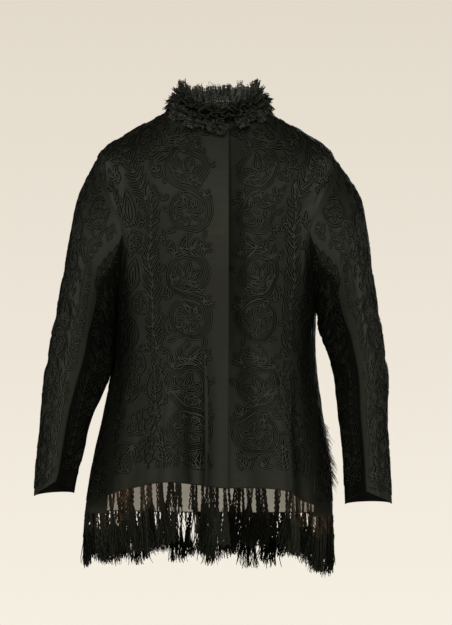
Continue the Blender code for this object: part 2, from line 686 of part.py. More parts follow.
def braid_scroll(name, panel, guide_column, across, down, reach, mirror, material):
    """A raised braid along a scroll, made from the panel's points moved out."""
    grid, normals = panel

    def cell_place(flat):
        return flat_place(grid, guide_column, across + mirror * flat[0], down + flat[1])

    def place(flat):
        return cell_place(flat)[0]

    line = scroll_line(reach)
    edges = braid_edges(line)
    points, faces = [], []
    sides = 3
    for k in range(len(line)):
        left, right = place(edges[0][k]), place(edges[1][k])
        way = line[min(k + 1, len(line) - 1)]
        back = line[max(k - 1, 0)]
        normal = (right - left).cross(place(way) - place(back)).normalized()
        i, j = cell_place(line[k])[1]
        if normal.dot(normals[i][j]) < 0:
            normal.negate()
        lift = BRAID_LIFT + max(panel_bulge(place, edge, k, normal) for edge in edges)
        points += [
            left + normal * lift,
            (left + right) / 2 + normal * (lift + BRAID_HIGH),
            right + normal * lift,
        ]
        if k:
            now, before = sides * k, sides * (k - 1)
            faces += [
                (before + c, now + c, now + (c + 1) % sides, before + (c + 1) % sides)
                for c in range(sides)
            ]
    end = sides * (len(line) - 1)
    faces += [(0, 1, 2), (end, end + 1, end + 2)]
    return solid_from(name, points, faces, material)


def panel_bulge(place, edge, k, normal):
    """How far the panel stands above the straight stretches of a braid's edge on both sides of point k."""
    bulge = 0.0
    for first in (k - 1, k):
        if 0 <= first < len(edge) - 1:
            start, end = edge[first], edge[first + 1]
            for share in BULGE_SHARES:
                flat = [a + (b - a) * share for a, b in zip(start, end)]
                chord = place(start).lerp(place(end), share)
                bulge = max(bulge, (place(flat) - chord).dot(normal))
    return bulge


# Materials and the whole garment

def cloth_material(name, colour, roughness):
    material = bpy.data.materials.new(name)
    material.use_nodes = True
    shader = material.node_tree.nodes["Principled BSDF"]
    shader.inputs["Base Color"].default_value = (*colour, 1)
    shader.inputs["Roughness"].default_value = roughness
    shader.inputs["Metallic"].default_value = 0.0
    return material


def clear_scene():
    for obj in list(bpy.data.objects):
        bpy.data.objects.remove(obj)


def main():
    clear_scene()
    rng = random.Random(SEED)
    silk = cloth_material("black_silk", (0.030, 0.030, 0.024), 0.62)
    lace = cloth_material("black_lace", (0.014, 0.014, 0.012), 0.75)
    braid = cloth_material("black_braid", (0.010, 0.010, 0.009), 0.45)
    floss = cloth_material("black_floss", (0.012, 0.011, 0.009), 0.50)

    right_front, right_ways = front_panel(RIGHT, "front_right", silk)
    left_front, left_ways = front_panel(LEFT, "front_left", silk)
    back, back_ways = back_panel("back", silk)
    seam, other_seam = ARMHOLE_STEPS // 2, 3 * ARMHOLE_STEPS // 2
    outers = {}
    for side, word in ((RIGHT, "right"), (LEFT, "left")):
        outers[side] = sleeve_piece(side, f"sleeve_outer_{word}", other_seam, silk)
        sleeve_piece(side, f"sleeve_under_{word}", seam, silk)

    standing_frill(lace)
    falling_frill(lace)
    rosette(lace)

    hem_fringe("fringe_front_right", right_front, right_ways, 0, rng, floss)
    hem_fringe("fringe_front_left", left_front, left_ways, LEFT_FRINGE_COLUMN, rng, floss)
    hem_fringe("fringe_back", back, back_ways, 0, rng, floss)
    side_fringe("fringe_side_right", back, back_ways, SIDE_FRINGE_COLUMNS[RIGHT], floss)
    side_fringe("fringe_side_left", back, back_ways, SIDE_FRINGE_COLUMNS[LEFT], floss)

    backs = (back, back_ways)
    fronts = (
        ("right", (right_front, right_ways), RIGHT_FRONT_ACROSS),
        ("left", (left_front, left_ways), LEFT_FRONT_ACROSS),
    )
    for k, down in enumerate(FRONT_SCROLLS_DOWN, 1):
        for word, panel, across in fronts:
            braid_scroll(f"scroll_front_{word}_{k}", panel, 0, across, down, FRONT_EYE, 1, braid)
    for k, down in enumerate(BACK_SCROLLS_DOWN, 1):
        for mirror, word in ((-1, "right"), (1, "left")):
            name, across = f"scroll_back_{word}_{k}", mirror * BACK_ACROSS
            braid_scroll(name, backs, BACK_COLUMNS // 2, across, down, FRONT_EYE, mirror, braid)
    for k, down in enumerate(SLEEVE_SCROLLS_DOWN, 1):
        for side, word in ((RIGHT, "right"), (LEFT, "left")):
            name = f"scroll_sleeve_{word}_{k}"
            braid_scroll(name, outers[side], seam, SLEEVE_ACROSS, down, SLEEVE_EYE, 1, braid)


main()
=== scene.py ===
"""Looks of the dolman mantle: fine silk shells with a pale lining, couched cords, lace and fringe.

Every piece lies on the form of the solid that it stands for. Metres, +Z up, the front faces -Y and
+X is the wearer's left.
"""

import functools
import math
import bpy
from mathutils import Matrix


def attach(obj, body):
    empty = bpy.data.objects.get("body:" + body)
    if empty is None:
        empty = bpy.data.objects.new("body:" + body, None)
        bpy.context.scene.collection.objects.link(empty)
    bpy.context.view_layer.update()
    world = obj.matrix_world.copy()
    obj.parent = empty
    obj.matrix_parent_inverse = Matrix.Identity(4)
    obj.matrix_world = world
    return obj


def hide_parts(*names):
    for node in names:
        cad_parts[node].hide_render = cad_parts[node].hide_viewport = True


bl_info = {
    "name": "Dolman mantle",
    "version": (1, 0, 0),
    "blender": (4, 5, 0),
    "location": "3D View > Sidebar > Mantle",
    "description": "Dresses the solids of a dolman mantle in corded silk, lace and fringe",
    "category": "Object",
}

from collections import namedtuple

import bpy
import numpy as np
from bpy.props import FloatProperty, FloatVectorProperty, IntProperty, PointerProperty
from mathutils import Vector

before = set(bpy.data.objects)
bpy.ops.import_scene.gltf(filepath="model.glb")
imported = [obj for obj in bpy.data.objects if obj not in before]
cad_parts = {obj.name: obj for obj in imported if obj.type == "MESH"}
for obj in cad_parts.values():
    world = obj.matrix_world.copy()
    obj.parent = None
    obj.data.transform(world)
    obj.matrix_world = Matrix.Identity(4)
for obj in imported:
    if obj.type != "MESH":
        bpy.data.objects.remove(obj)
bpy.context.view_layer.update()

# Cut of the garment, with the same values as its solids

RIGHT, LEFT = -1, 1
UP = np.array((0.0, 0.0, 1.0))
CLOTH = 0.002  # thickness of the solids' cloth
SEAM = 0.0003  # room between two panels that are sewn together
SQUARE = 2.4  # power of the body's rounded sections; 2 would make them ellipses

BodyRow = namedtuple("BodyRow", "right_x left_x side_y side_z front_y front_z back_y back_z")
BODY = (
    BodyRow(0.064, 0.072, 0.000, 0.000, -0.058, -0.034, 0.054, 0.012),
    BodyRow(0.115, 0.114, 0.004, -0.030, -0.080, -0.066, 0.074, -0.022),
    BodyRow(0.163, 0.160, 0.006, -0.056, -0.102, -0.106, 0.092, -0.066),
    BodyRow(0.221, 0.217, 0.006, -0.102, -0.122, -0.155, 0.104, -0.122),
    BodyRow(0.210, 0.207, 0.006, -0.190, -0.138, -0.220, 0.110, -0.195),
    BodyRow(0.197, 0.194, 0.006, -0.285, -0.146, -0.300, 0.108, -0.290),
    BodyRow(0.187, 0.183, 0.004, -0.385, -0.146, -0.390, 0.098, -0.390),
    BodyRow(0.191, 0.182, 0.000, -0.470, -0.146, -0.470, 0.096, -0.475),
    BodyRow(0.206, 0.193, 0.000, -0.560, -0.150, -0.555, 0.114, -0.570),
    BodyRow(0.226, 0.208, 0.000, -0.655, -0.155, -0.635, 0.136, -0.665),
    BodyRow(0.241, 0.213, 0.000, -0.745, -0.160, -0.705, 0.156, -0.760),
)
SHOULDER, UNDERARM, HEM = 3, 6, 10
HEMS = {  # heights at even steps across each panel
    "front_right": (-0.703, -0.698, -0.692, -0.697, -0.707, -0.718),
    "front_left": (-0.703, -0.703, -0.703, -0.706, -0.721, -0.736),
    "back": (-0.752, -0.762, -0.769, -0.766, -0.758),
}

FoldRow = namedtuple("FoldRow", "side turn_deg top_z depth width_deg")
FOLDS = (
    FoldRow(RIGHT, 9, -0.38, -0.012, 5),
    FoldRow(RIGHT, 23, -0.34, 0.010, 8),
    FoldRow(RIGHT, 39, -0.44, -0.009, 7),
    FoldRow(RIGHT, 74, -0.44, 0.008, 10),
    FoldRow(RIGHT, 104, -0.42, -0.012, 10),
    FoldRow(RIGHT, 132, -0.40, 0.012, 11),
    FoldRow(RIGHT, 158, -0.36, -0.012, 10),
    FoldRow(LEFT, 17, -0.36, -0.010, 8),
    FoldRow(LEFT, 33, -0.34, 0.010, 7),
    FoldRow(LEFT, 47, -0.42, -0.008, 6),
    FoldRow(LEFT, 72, -0.46, 0.006, 10),
    FoldRow(LEFT, 102, -0.42, -0.010, 10),
    FoldRow(LEFT, 131, -0.40, 0.012, 11),
    FoldRow(LEFT, 158, -0.36, -0.012, 10),
)

LAP = 0.022  # the fronts reach this far past the middle
LAP_DROP, LAP_BLEND = 0.0046, 0.080  # the left front lies this far under, up to this far from the middle
WIDEST_LAP = 0.95  # of the neck's half width
SHOULDER_TURN, UNDERARM_TURN, HEM_SEAM_TURN = 90, 80, 56  # degrees from the middle front
FRONT_SCOOP, BACK_SCOOP, SCOOP_POWER = 27, 34, 1.25  # degrees that the armholes cut into the panels

SleeveRow = namedtuple("SleeveRow", "outer_x outer_z inner_x inner_z front_y back_y crease")
SLEEVES = {
    RIGHT: (
        SleeveRow(0.254, -0.170, 0.1890, -0.405, -0.092, 0.084, 0.000),
        SleeveRow(0.269, -0.240, 0.1880, -0.428, -0.098, 0.078, 0.002),
        SleeveRow(0.285, -0.330, 0.1880, -0.458, -0.104, 0.068, 0.004),
        SleeveRow(0.302, -0.424, 0.1930, -0.498, -0.110, 0.055, 0.006),
        SleeveRow(0.316, -0.500, 0.2100, -0.540, -0.114, 0.040, 0.008),
        SleeveRow(0.322, -0.575, 0.2300, -0.585, -0.119, 0.022, 0.009),
        SleeveRow(0.328, -0.645, 0.2430, -0.643, -0.124, 0.002, 0.010),
        SleeveRow(0.333, -0.714, 0.2580, -0.708, -0.129, -0.018, 0.010),
    ),
    LEFT: (
        SleeveRow(0.262, -0.171, 0.1880, -0.403, -0.092, 0.084, 0.000),
        SleeveRow(0.277, -0.240, 0.1880, -0.418, -0.098, 0.078, 0.002),
        SleeveRow(0.289, -0.330, 0.1910, -0.436, -0.104, 0.068, 0.004),
        SleeveRow(0.303, -0.424, 0.2030, -0.462, -0.110, 0.055, 0.006),
        SleeveRow(0.314, -0.500, 0.2140, -0.508, -0.114, 0.040, 0.008),
        SleeveRow(0.312, -0.575, 0.2210, -0.570, -0.119, 0.022, 0.009),
        SleeveRow(0.315, -0.645, 0.2290, -0.645, -0.124, 0.002, 0.010),
        SleeveRow(0.319, -0.728, 0.2320, -0.728, -0.129, -0.018, 0.010),
    ),
}
AROUND = 20  # sleeve columns are counted in twentieths of the way round
FRONT_SEAM, BACK_SEAM = 5, 15
FRONT_SEAM_DEG, CREASE_WIDTH_DEG, INNER_FORWARD = 97, 48, 0.030
CUFF_NOTCH, CUFF_NOTCH_DEG, CUFF_ROWS = 0.026, 85, 15

# Lace frills and rosette

# Lengths of the two frills, at even steps round the neck
STAND_RISE = (0.037, 0.041, 0.036, 0.028, 0.024, 0.030, 0.040, 0.044, 0.037)
FALL_DROP = (0.034, 0.036, 0.033, 0.028, 0.026, 0.028, 0.034, 0.038, 0.034)
# A frill's layer: its gathers, its share of the length, its lean from upright at foot and edge, and its waves
Ruffle = namedtuple("Ruffle", "waves share foot_deg edge_deg wave")
STANDING = (
    Ruffle(30, 1.00, 0, 10, 0.0036),
    Ruffle(27, 0.76, 10, 36, 0.0046),
    Ruffle(25, 0.62, 34, 78, 0.0054),
    Ruffle(24, 0.60, 58, 112, 0.0056),
)
FALLING = (
    Ruffle(25, 0.70, 60, 128, 0.0052),
    Ruffle(27, 0.86, 84, 146, 0.0048),
    Ruffle(24, 1.00, 110, 150, 0.0040),
)
STAND_ENDS, FALL_ENDS = (LAP + 0.002, LAP - 0.002), (LAP + 0.003, -0.008)  # x on the left and the right front
LACE_ROWS, NET_ROWS, NET_OPEN = 9, 2, 0.45  # rows of a frill, how many of them are net, and its holes
WAVE_POINTS = 10
LACE_TUCK = 0.002  # the frills start this far below the neck edge
LEVEL_FOOT_DEG = 60  # layers that lean less start inside the cloth, and others outside it
NECK_STEP = 0.2  # of a section, down from the neck edge
GATHER_SHIFTS, GATHER_HEIGHTS = (-0.4, 0.4), (0.4, 1.5)  # uneven spacing in waves, and uneven heights
RAGGED_LENGTH, RAGGED_ENDS, RAGGED_HEIGHT = 0.16, 0.03, 0.4  # shares by which lengths, ends and waves vary
CURL_OUT, CURL_ASIDE, LOOP_ASIDE = 0.3, 0.4, 0.8  # small curls on the waves, and sideways loops, as shares
PICOT, PICOT_THREAD = 0.0016, 0.00042  # radii of a loop and of its thread
PICOT_EVERY, PICOT_POINTS, PICOT_LEAN, PICOT_SIZES = 2, 9, 0.5, (0.4, 1.5)
LONG_PICOTS = 0.07  # share of the picots that are twice as long
ROSETTE_Z, ROSETTE_RISE = -0.052, 0.62  # height of its middle, and how far it looks up for each metre forward
ROSETTE_START = 0.15  # share of a ring's radius at which it starts
Ring = namedtuple("Ring", "radius waves wave lift")
ROSETTE = (Ring(0.0185, 9, 0.0026, 0.003), Ring(0.0140, 7, 0.0030, 0.005), Ring(0.0090, 5, 0.0030, 0.008))
RAGGED_RING = ((0.16, 2), (0.10, 5))  # sizes and counts of the waves in a ring's outline

# Main creases of each panel: where its middle lies, its length, width and depth, and its lean

Crease = namedtuple("Crease", "across down length width depth lean_deg")
FRONT_CREASES = (
    Crease(0.215, 0.150, 0.150, 0.012, -0.0028, 22),
    Crease(0.240, 0.230, 0.170, 0.014, -0.0034, 12),
    Crease(0.190, 0.300, 0.220, 0.016, 0.0026, 5),
    Crease(0.240, 0.440, 0.200, 0.013, -0.0030, -8),
    Crease(0.170, 0.590, 0.180, 0.012, -0.0024, -5),
)
CREASES = {
    "front_right": FRONT_CREASES + (
        Crease(0.060, 0.580, 0.560, 0.027, -0.0120, 0),
        Crease(0.112, 0.590, 0.480, 0.026, 0.0060, -1),
    ),
    "front_left": FRONT_CREASES + (
        Crease(0.042, 0.400, 1.200, 0.032, -0.0220, 2),
        Crease(0.158, 0.600, 0.460, 0.023, 0.0056, 2),
    ),
    "back": (
        Crease(-0.120, 0.200, 0.240, 0.016, -0.0030, 14),
        Crease(0.110, 0.230, 0.260, 0.017, -0.0034, -12),
        Crease(-0.040, 0.390, 0.280, 0.018, 0.0026, 3),
        Crease(0.055, 0.450, 0.230, 0.014, -0.0026, -4),
        Crease(-0.170, 0.530, 0.230, 0.016, -0.0030, 6),
        Crease(0.185, 0.530, 0.210, 0.013, 0.0028, -5),
    ),
    "outer": (
        Crease(0.030, 0.230, 0.110, 0.010, -0.0032, 62),
        Crease(-0.020, 0.300, 0.130, 0.012, -0.0040, 74),
        Crease(0.035, 0.345, 0.100, 0.010, 0.0030, 58),
        Crease(0.010, 0.392, 0.120, 0.011, -0.0038, 70),
        Crease(-0.030, 0.450, 0.090, 0.010, -0.0028, 60),
        Crease(0.020, 0.530, 0.080, 0.009, -0.0022, 48),
        Crease(0.040, 0.090, 0.120, 0.012, -0.0030, 18),
    ),
    "under": (
        Crease(0.128, 0.090, 0.120, 0.024, 0.0036, 0),
        Crease(0.050, 0.120, 0.100, 0.010, -0.0032, -66),
        Crease(0.080, 0.175, 0.110, 0.011, -0.0038, -72),
        Crease(0.050, 0.225, 0.090, 0.009, 0.0028, -60),
        Crease(0.060, 0.300, 0.090, 0.010, -0.0028, -58),
    ),
}
SleeveFold = namedtuple("SleeveFold", "turn_deg width_deg depth")
SLEEVE_FOLDS = (SleeveFold(74, 16, -0.009), SleeveFold(128, 32, 0.020))  # along the front of both halves
SLEEVE_FOLD_TOP, SLEEVE_FOLD_BLEND = 0.08, 0.35  # shares of the sleeve's length over which they deepen
# The under sleeve is painted in shade, darker and less glossy, but for a strip at its front seam that keeps
# the lit silk: places down it, the strip's widths and columns
STRIP_DOWNS = (0.0, 0.018, 0.036, 0.080, 0.115, 0.155, 0.205)
STRIP_WIDTHS = (0.003, 0.018, 0.032, 0.025, 0.018, 0.010, 0.002)
STRIP_COLUMNS = 4
# the under sleeve's silk is painted darker by this share, as shade
SHADED_UNDER_TONE = 0.55  # of the silk's colour
CREASE_FADE = 0.022  # creases die away this far from a seam
PUCKER = 0.00016  # the couched cords draw the silk up by about this much
PLAIN_EDGE = 0.034  # and the fronts lie smooth this far from their closing edges
PUCKER_LENGTHS = (0.019, 0.026, 0.034, 0.047)

# Couched cords, placed by metres across from a panel's guide line and down it

FRONT_EYE, SLEEVE_EYE = 0.040, 0.030  # radii of the scrolls' two turns
SCROLL_TURNS, SCROLL_INNER, SCROLL_POWER = 1.2, 0.62, 0.8
SCROLL_RAIL = 0.0050  # a cord lies this far on each side of a scroll's braid
LEFT_SHIFT = 0.024  # the left front's pattern starts this much further from its hidden edge
CORD_PROFILE = ((1.0, -0.2), (0.32, 1.0), (-0.32, 1.0), (-1.0, -0.2))  # shares of half width and height
LEAF_POINTS = 11  # down each side of a leaf
VEIN_ROOM = 0.0080  # narrower leaves have no vein
LEAST_INSIDE = 0.7  # a cord with less of its length than this inside its panel is left out
HandWave = namedtuple("HandWave", "size across down")  # how far cords wander, and in what lengths
HAND_WAVES = (
    HandWave(0.0022, 0.090, -0.120),
    HandWave(0.0016, -0.070, -0.061),
    HandWave(0.0006, 0.023, 0.031),
)
HAND_SKEW = 1.3  # their wander down a panel changes this much quicker than that across it
CALM = 0.070  # cords are laid straighter within this of a panel's guide line
LONGEST_STEP, SHARPEST_STEP = 0.009, 0.68  # of a cord: metres, and radians of its turn
DOUBLE = 0.0048  # between the two cords of a double stem
FROND_PITCH, FROND_LEAF, FROND_TIP = 0.0165, 0.0320, 0.026
WHEAT_PITCH, WHEAT_LEAF = 0.0160, 0.0250
RIB_PITCH, RIB_LOOP = 0.0130, 0.034
VINE_BEND, VINE_SWING, VINE_LEAF = 0.06, 0.009, 0.021
TENDRIL, TENDRIL_ASIDE, TENDRIL_DOWN = 0.008, 0.016, 0.006
LADDER_PITCH = 0.0085
WREATH_GAP = 0.0030  # between a scroll's rail and its leaves

Motif = namedtuple("Motif", "shape across down size turn")


def motifs(**places):
    """Motifs of each shape, from rows of across, down, size and turn."""
    return tuple(Motif(shape, *row) for shape, rows in places.items() for row in rows)


FRONT_SCROLLS = motifs(scroll=[(0.072, down, FRONT_EYE, 0) for down in (0.155, 0.349, 0.551)])
BACK_SCROLLS = motifs(scroll=[(0.070, down, FRONT_EYE, 0) for down in (0.150, 0.360, 0.575)])
SLEEVE_SCROLLS = motifs(scroll=[(0.066, down, SLEEVE_EYE, 0) for down in (0.140, 0.312, 0.484)])
BODY_MOTIFS = motifs(
    tuft=[
        (0.060, 0.074, 0.022, -30), (0.046, 0.168, 0.022, -40), (0.044, 0.268, 0.022, -40),
        (0.046, 0.362, 0.022, -40), (0.046, 0.462, 0.022, -40), (0.046, 0.556, 0.022, -40),
        (0.084, 0.652, 0.024, 24), (0.190, 0.084, 0.024, 30), (0.150, 0.662, 0.024, 180),
    ],
    sprig=[
        (0.104, 0.286, 0.074, -58), (0.104, 0.482, 0.074, -58), (0.132, 0.098, 0.074, -56),
        (0.118, 0.072, 0.060, -60), (0.160, 0.060, 0.060, -52), (0.250, 0.176, 0.070, 14),
    ],
    spray=[(0.052, 0.664, 0.034, 0)],
    frond=[(0.133, 0.446, 0.262, 2)],
    plume=[(0.130, 0.552, 0.090, 2), (0.160, 0.606, 0.062, -30)],
    wheel=[(0.153, 0.086, 0.027, 0)],
    ribs=[(0.150, 0.186, 0.100, 34)],
    oval=[(0.186, 0.236, 0.060, 10), (0.186, 0.342, 0.054, -8), (0.186, 0.446, 0.054, 4)],
    rose=[(0.222, 0.120, 0.024, 0), (0.150, 0.626, 0.027, 0)],
    medallion=[(0.176, 0.262, 0.019, 0), (0.170, 0.366, 0.019, 0), (0.176, 0.470, 0.020, 0)],
    vine=[(0.204, 0.420, 0.120, 4), (0.226, 0.652, 0.280, 0)],
    fan=[(0.200, 0.536, 0.056, -22), (0.184, 0.618, 0.046, 132), (0.262, 0.440, 0.050, 8)],
    ladder=[(0.188, 0.576, 0.058, -66)],
    crook=[(0.116, 0.668, 0.090, 0)],
)
BACK_STRETCH = 1.04  # the back has the fronts' pattern on both halves, drawn longer
BACK_MOTIFS = tuple(m._replace(down=m.down * BACK_STRETCH) for m in BODY_MOTIFS) + motifs(
    frond=[(0.013, 0.330, 0.260, 0), (0.013, 0.660, 0.290, 0), (0.318, 0.722, 0.170, 6)],
    rose=[(0.276, 0.690, 0.027, 0)],
    fan=[(0.262, 0.620, 0.056, 10)],
    oval=[(0.298, 0.560, 0.056, 8)],
    sprig=[(0.352, 0.728, 0.074, 10)],
    spray=[(0.090, 0.734, 0.036, 0), (0.180, 0.736, 0.036, 0)],
)
OUTER_MOTIFS = motifs(
    wheel=[(0.110, 0.034, 0.028, 0)],
    wheat=[(0.106, 0.390, 0.340, 8)],
    frond=[(0.092, 0.566, 0.150, 4), (-0.086, 0.330, 0.270, -4), (-0.066, 0.560, 0.190, -4)],
    sprig=[
        (0.092, 0.238, 0.060, -52), (0.090, 0.410, 0.060, -52), (-0.036, 0.230, 0.070, 0),
        (-0.032, 0.380, 0.070, 0), (-0.028, 0.530, 0.070, 0),
    ],
    fan=[(0.060, 0.592, 0.044, 0)],
    vine=[(0.018, 0.330, 0.270, 0), (0.012, 0.600, 0.240, 0)],
    rose=[(-0.038, 0.120, 0.024, 0), (-0.034, 0.270, 0.024, 0), (-0.030, 0.420, 0.022, 0)],
    oval=[(-0.124, 0.130, 0.058, -6), (-0.116, 0.230, 0.056, -6)],
    tuft=[(0.036, 0.060, 0.026, 0), (-0.010, 0.050, 0.026, 0)],
)
UNDER_MOTIFS = motifs(
    wheat=[(0.011, 0.200, 0.170, 4)],
    frond=[(0.030, 0.260, 0.060, 0), (0.022, 0.430, 0.150, 0), (0.142, 0.280, 0.230, 4)],
    vine=[(0.064, 0.300, 0.250, 0), (0.190, 0.220, 0.180, 4)],
    oval=[(0.102, 0.160, 0.056, 4), (0.098, 0.250, 0.056, 4)],
    sprig=[(0.092, 0.350, 0.070, 4)],
)
# Pairs of small leaves fill a share of the places where no cord lies within clear
Filler = namedtuple("Filler", "pitch clear share size jitter turn_deg")
FILLER = Filler(0.0130, 0.0068, 0.80, 0.0170, 0.3, 70)
Zone = namedtuple("Zone", "low top hem")  # cords keep off the lap, below the collar and above the hem
NO_LAP = -1.0
ZONES = {
    "front_right": Zone(0.023, 0.030, 0.028),
    "front_left": Zone(0.046, 0.030, 0.028),
    "back": Zone(NO_LAP, 0.040, 0.024),
    "outer": Zone(NO_LAP, 0.008, 0.012),
    "under": Zone(NO_LAP, 0.010, 0.012),
}
SEAM_MARGIN = 0.006  # cords keep this far from seams

# Fringe

TASSEL_STEP = 0.0098
Fringe = namedtuple("Fringe", "node panel first_share length fullness")
FRINGES = (
    Fringe("fringe_front_right", "front_right", 0.0, 0.122, 1.0),
    Fringe("fringe_front_left", "front_left", 0.20, 0.124, 1.0),
    Fringe("fringe_back", "back", 0.0, 0.100, 0.75),
)
Gap = namedtuple("Gap", "x half_width cords")
FRONT_GAPS = (  # the front has lost floss here, and its cords too where cords is False
    Gap(-0.066, 0.032, True),
    Gap(-0.146, 0.006, False),
    Gap(-0.054, 0.005, False),
    Gap(0.098, 0.011, False),
)
CORD_SHARE = 0.42  # of a tassel's length; the rest is floss
CRINKLE_POINTS, FLOSS_POINTS = 16, 6
PLIES = 6  # crinkled yarns that make up a cord
CLUMP = 0.026  # width of hem whose floss hangs together
HANG_IN = 0.055  # the fringe hangs in by this share of its distance from the middle
HEADING, SIDE_HEADING = 0.0013, 0.0011  # radii of the braids that the tassels hang from
# Uneven tassels: the least and the most of each size, as shares or in metres
CLUMP_SPACING, CLUMP_PULL, CLUMP_LENGTHS = (0.5, 1.5), (0.05, 0.5), (0.74, 1.08)
TASSEL_LENGTHS, CORD_LENGTHS, CORD_BULKS = (0.90, 1.05), (0.85, 1.12), (0.5, 1.2)
CRINKLE_LENGTHS, CRINKLE_SIZES, YARN_RADII = (0.0075, 0.0120), (0.0005, 0.0013), (0.0011, 0.0018)
FLOSS_STARTS, FLOSS_RADII = (0.60, 1.0), (0.0006, 0.0012)  # the starts are shares of the way down a cord
FEW_STRANDS, STRANDS_VARY = (2, 9), 6  # strands where floss is lost, and how many more or fewer elsewhere
# How far things stray, along the hem or along it and forward
ROOT_STRAY, YARN_DRIFT, YARN_STRAY = 0.0034, 0.0016, 0.0026
CORD_DRIFT, FLOSS_STRAY, FLOSS_BEND = (0.0036, 0.0020), (0.0078, 0.0028), (0.0028, 0.0014)
LOOSE_SHARE, LOOSE_STRAY = 0.06, 1.7  # share of the strands that stray further, and how much
CORD_PULL = 0.25  # of the floss's lean towards the middle of its clump
FLOSS_MEAN, FLOSS_VARIES, FLOSS_LIMITS = 0.98, 0.05, (0.5, 1.06)  # shares of the length that is left
FLOSS_CURLS, FLOSS_TAPER, CRINKLE_SWELL = 1.2, 0.4, 0.2
SIDE_FRINGE = {"fringe_side_right": 5 / 22, "fringe_side_left": 19 / 22}  # shares across the back
SIDE_FRINGE_ROWS = (0.571, 0.857)  # shares down the skirt
SIDE_TASSEL_STEP, SIDE_OFF, SIDE_POINTS = 0.009, 0.0012, 12  # spacing, room off the back, points of a strand
SIDE_LENGTHS, SIDE_RADIUS, SIDE_TAPER = (0.010, 0.021), 0.0005, 0.6
# How far side strands slope down, how far their ways and tips stray, and how far they droop
SIDE_SLOPE, SIDE_WAYS, SIDE_STRAY, SIDE_SAG = 1.1, 0.16, 0.004, 0.006

# Mesh divisions and random seeds

ROWS = np.concatenate([
    np.linspace(0, SHOULDER, 24, endpoint=False),
    np.linspace(SHOULDER, UNDERARM, 40, endpoint=False),
    np.linspace(UNDERARM, HEM, 52),
])
FRONT_COLUMNS, BACK_COLUMNS, SLEEVE_COLUMNS, SLEEVE_ROWS = 51, 91, 33, 89
SHARP_DEG = 60  # edges that turn more than this are sharp
SEED = 11


# Colours

def linear(hex_colour):
    """Linear red, green and blue of an sRGB hex colour."""
    channels = [int(hex_colour[k:k + 2], 16) / 255 for k in (1, 3, 5)]
    return tuple(c / 12.92 if c <= 0.04045 else ((c + 0.055) / 1.055) ** 2.4 for c in channels)


class MantleCloth(bpy.types.PropertyGroup):
    """Silk, its lining and its couched cords."""
    wall: FloatProperty(
        name="Wall", description="Silk and lining together", unit="LENGTH",
        default=0.0014, min=0.0005, max=0.003)
    silk: FloatVectorProperty(
        name="Silk", description="Ground of the panels", subtype="COLOR", default=linear("#141410"))
    gloss: FloatProperty(
        name="Gloss", description="Specular level of the silk", default=0.5, min=0, max=1)
    # The under sleeves are painted in shade: their silk gets this low specular level and a darker tone
    shaded_under_gloss: FloatProperty(
        name="Under gloss", description="Specular level of the under sleeves", default=0.07, min=0, max=1)
    lining: FloatVectorProperty(
        name="Lining", description="Inside of the body", subtype="COLOR", default=linear("#ebe5d8"))
    sleeve_lining: FloatVectorProperty(
        name="Sleeve lining", description="Inside of the sleeves", subtype="COLOR", default=linear("#191815"))
    # The cords' tops are painted lighter than the silk, as highlight
    cord: FloatVectorProperty(
        name="Cord", description="Couched cords", subtype="COLOR", default=linear("#26261f"))
    # The cords' sides are painted near black and matt, as shade beside each cord
    cord_side_shade: FloatVectorProperty(
        name="Cord edge", description="Sides of the couched cords", subtype="COLOR",
        default=linear("#040404"))
    cord_width: FloatProperty(
        name="Cord width", description="Width of a fine cord", unit="LENGTH",
        default=0.0045, min=0.001, max=0.005)
    cord_height: FloatProperty(
        name="Cord height", description="Height of a fine cord", unit="LENGTH",
        default=0.0012, min=0.0005, max=0.003)
    braid_width: FloatProperty(
        name="Braid width", description="Width of a scroll's braid", unit="LENGTH",
        default=0.0042, min=0.002, max=0.008)
    braid_height: FloatProperty(
        name="Braid height", description="Height of a braid", unit="LENGTH",
        default=0.0012, min=0.001, max=0.004)


class MantleTrim(bpy.types.PropertyGroup):
    """Lace at the neck and fringe at the hem."""
    lace: FloatVectorProperty(
        name="Lace", description="Frills and rosette", subtype="COLOR", default=linear("#1f1f1a"))
    lace_wall: FloatProperty(
        name="Lace wall", description="Thickness of the lace", unit="LENGTH",
        default=0.0006, min=0.0002, max=0.002)
    fringe_cord: FloatVectorProperty(
        name="Fringe cord", description="Crinkled cords", subtype="COLOR", default=linear("#191410"))
    worn_cord: FloatVectorProperty(
        name="Worn cord", description="Where the cords' dye has gone", subtype="COLOR",
        default=linear("#574330"))
    floss: FloatVectorProperty(
        name="Floss", description="Loose silk below the cords", subtype="COLOR", default=linear("#10100b"))
    strands: IntProperty(
        name="Strands", description="Floss strands of each tassel", default=28, min=8, max=40)


class MantleStage(bpy.types.PropertyGroup):
    """Light, floor and camera."""
    backdrop_high: FloatVectorProperty(
        name="Backdrop, upper", description="Colour above", subtype="COLOR", default=linear("#e2d9ca"))
    backdrop_low: FloatVectorProperty(
        name="Backdrop, lower", description="Colour below", subtype="COLOR", default=linear("#f6f0e3"))
    floor: FloatVectorProperty(
        name="Floor", description="Paint of the floor", subtype="COLOR", default=linear("#ece4d6"))
    light: FloatProperty(
        name="Light", description="Power of the front light", unit="POWER", default=68, min=0)
    distance: FloatProperty(
        name="Camera distance", description="From the garment's middle plane", unit="LENGTH",
        default=5.0, min=1)


# Curves and arrays

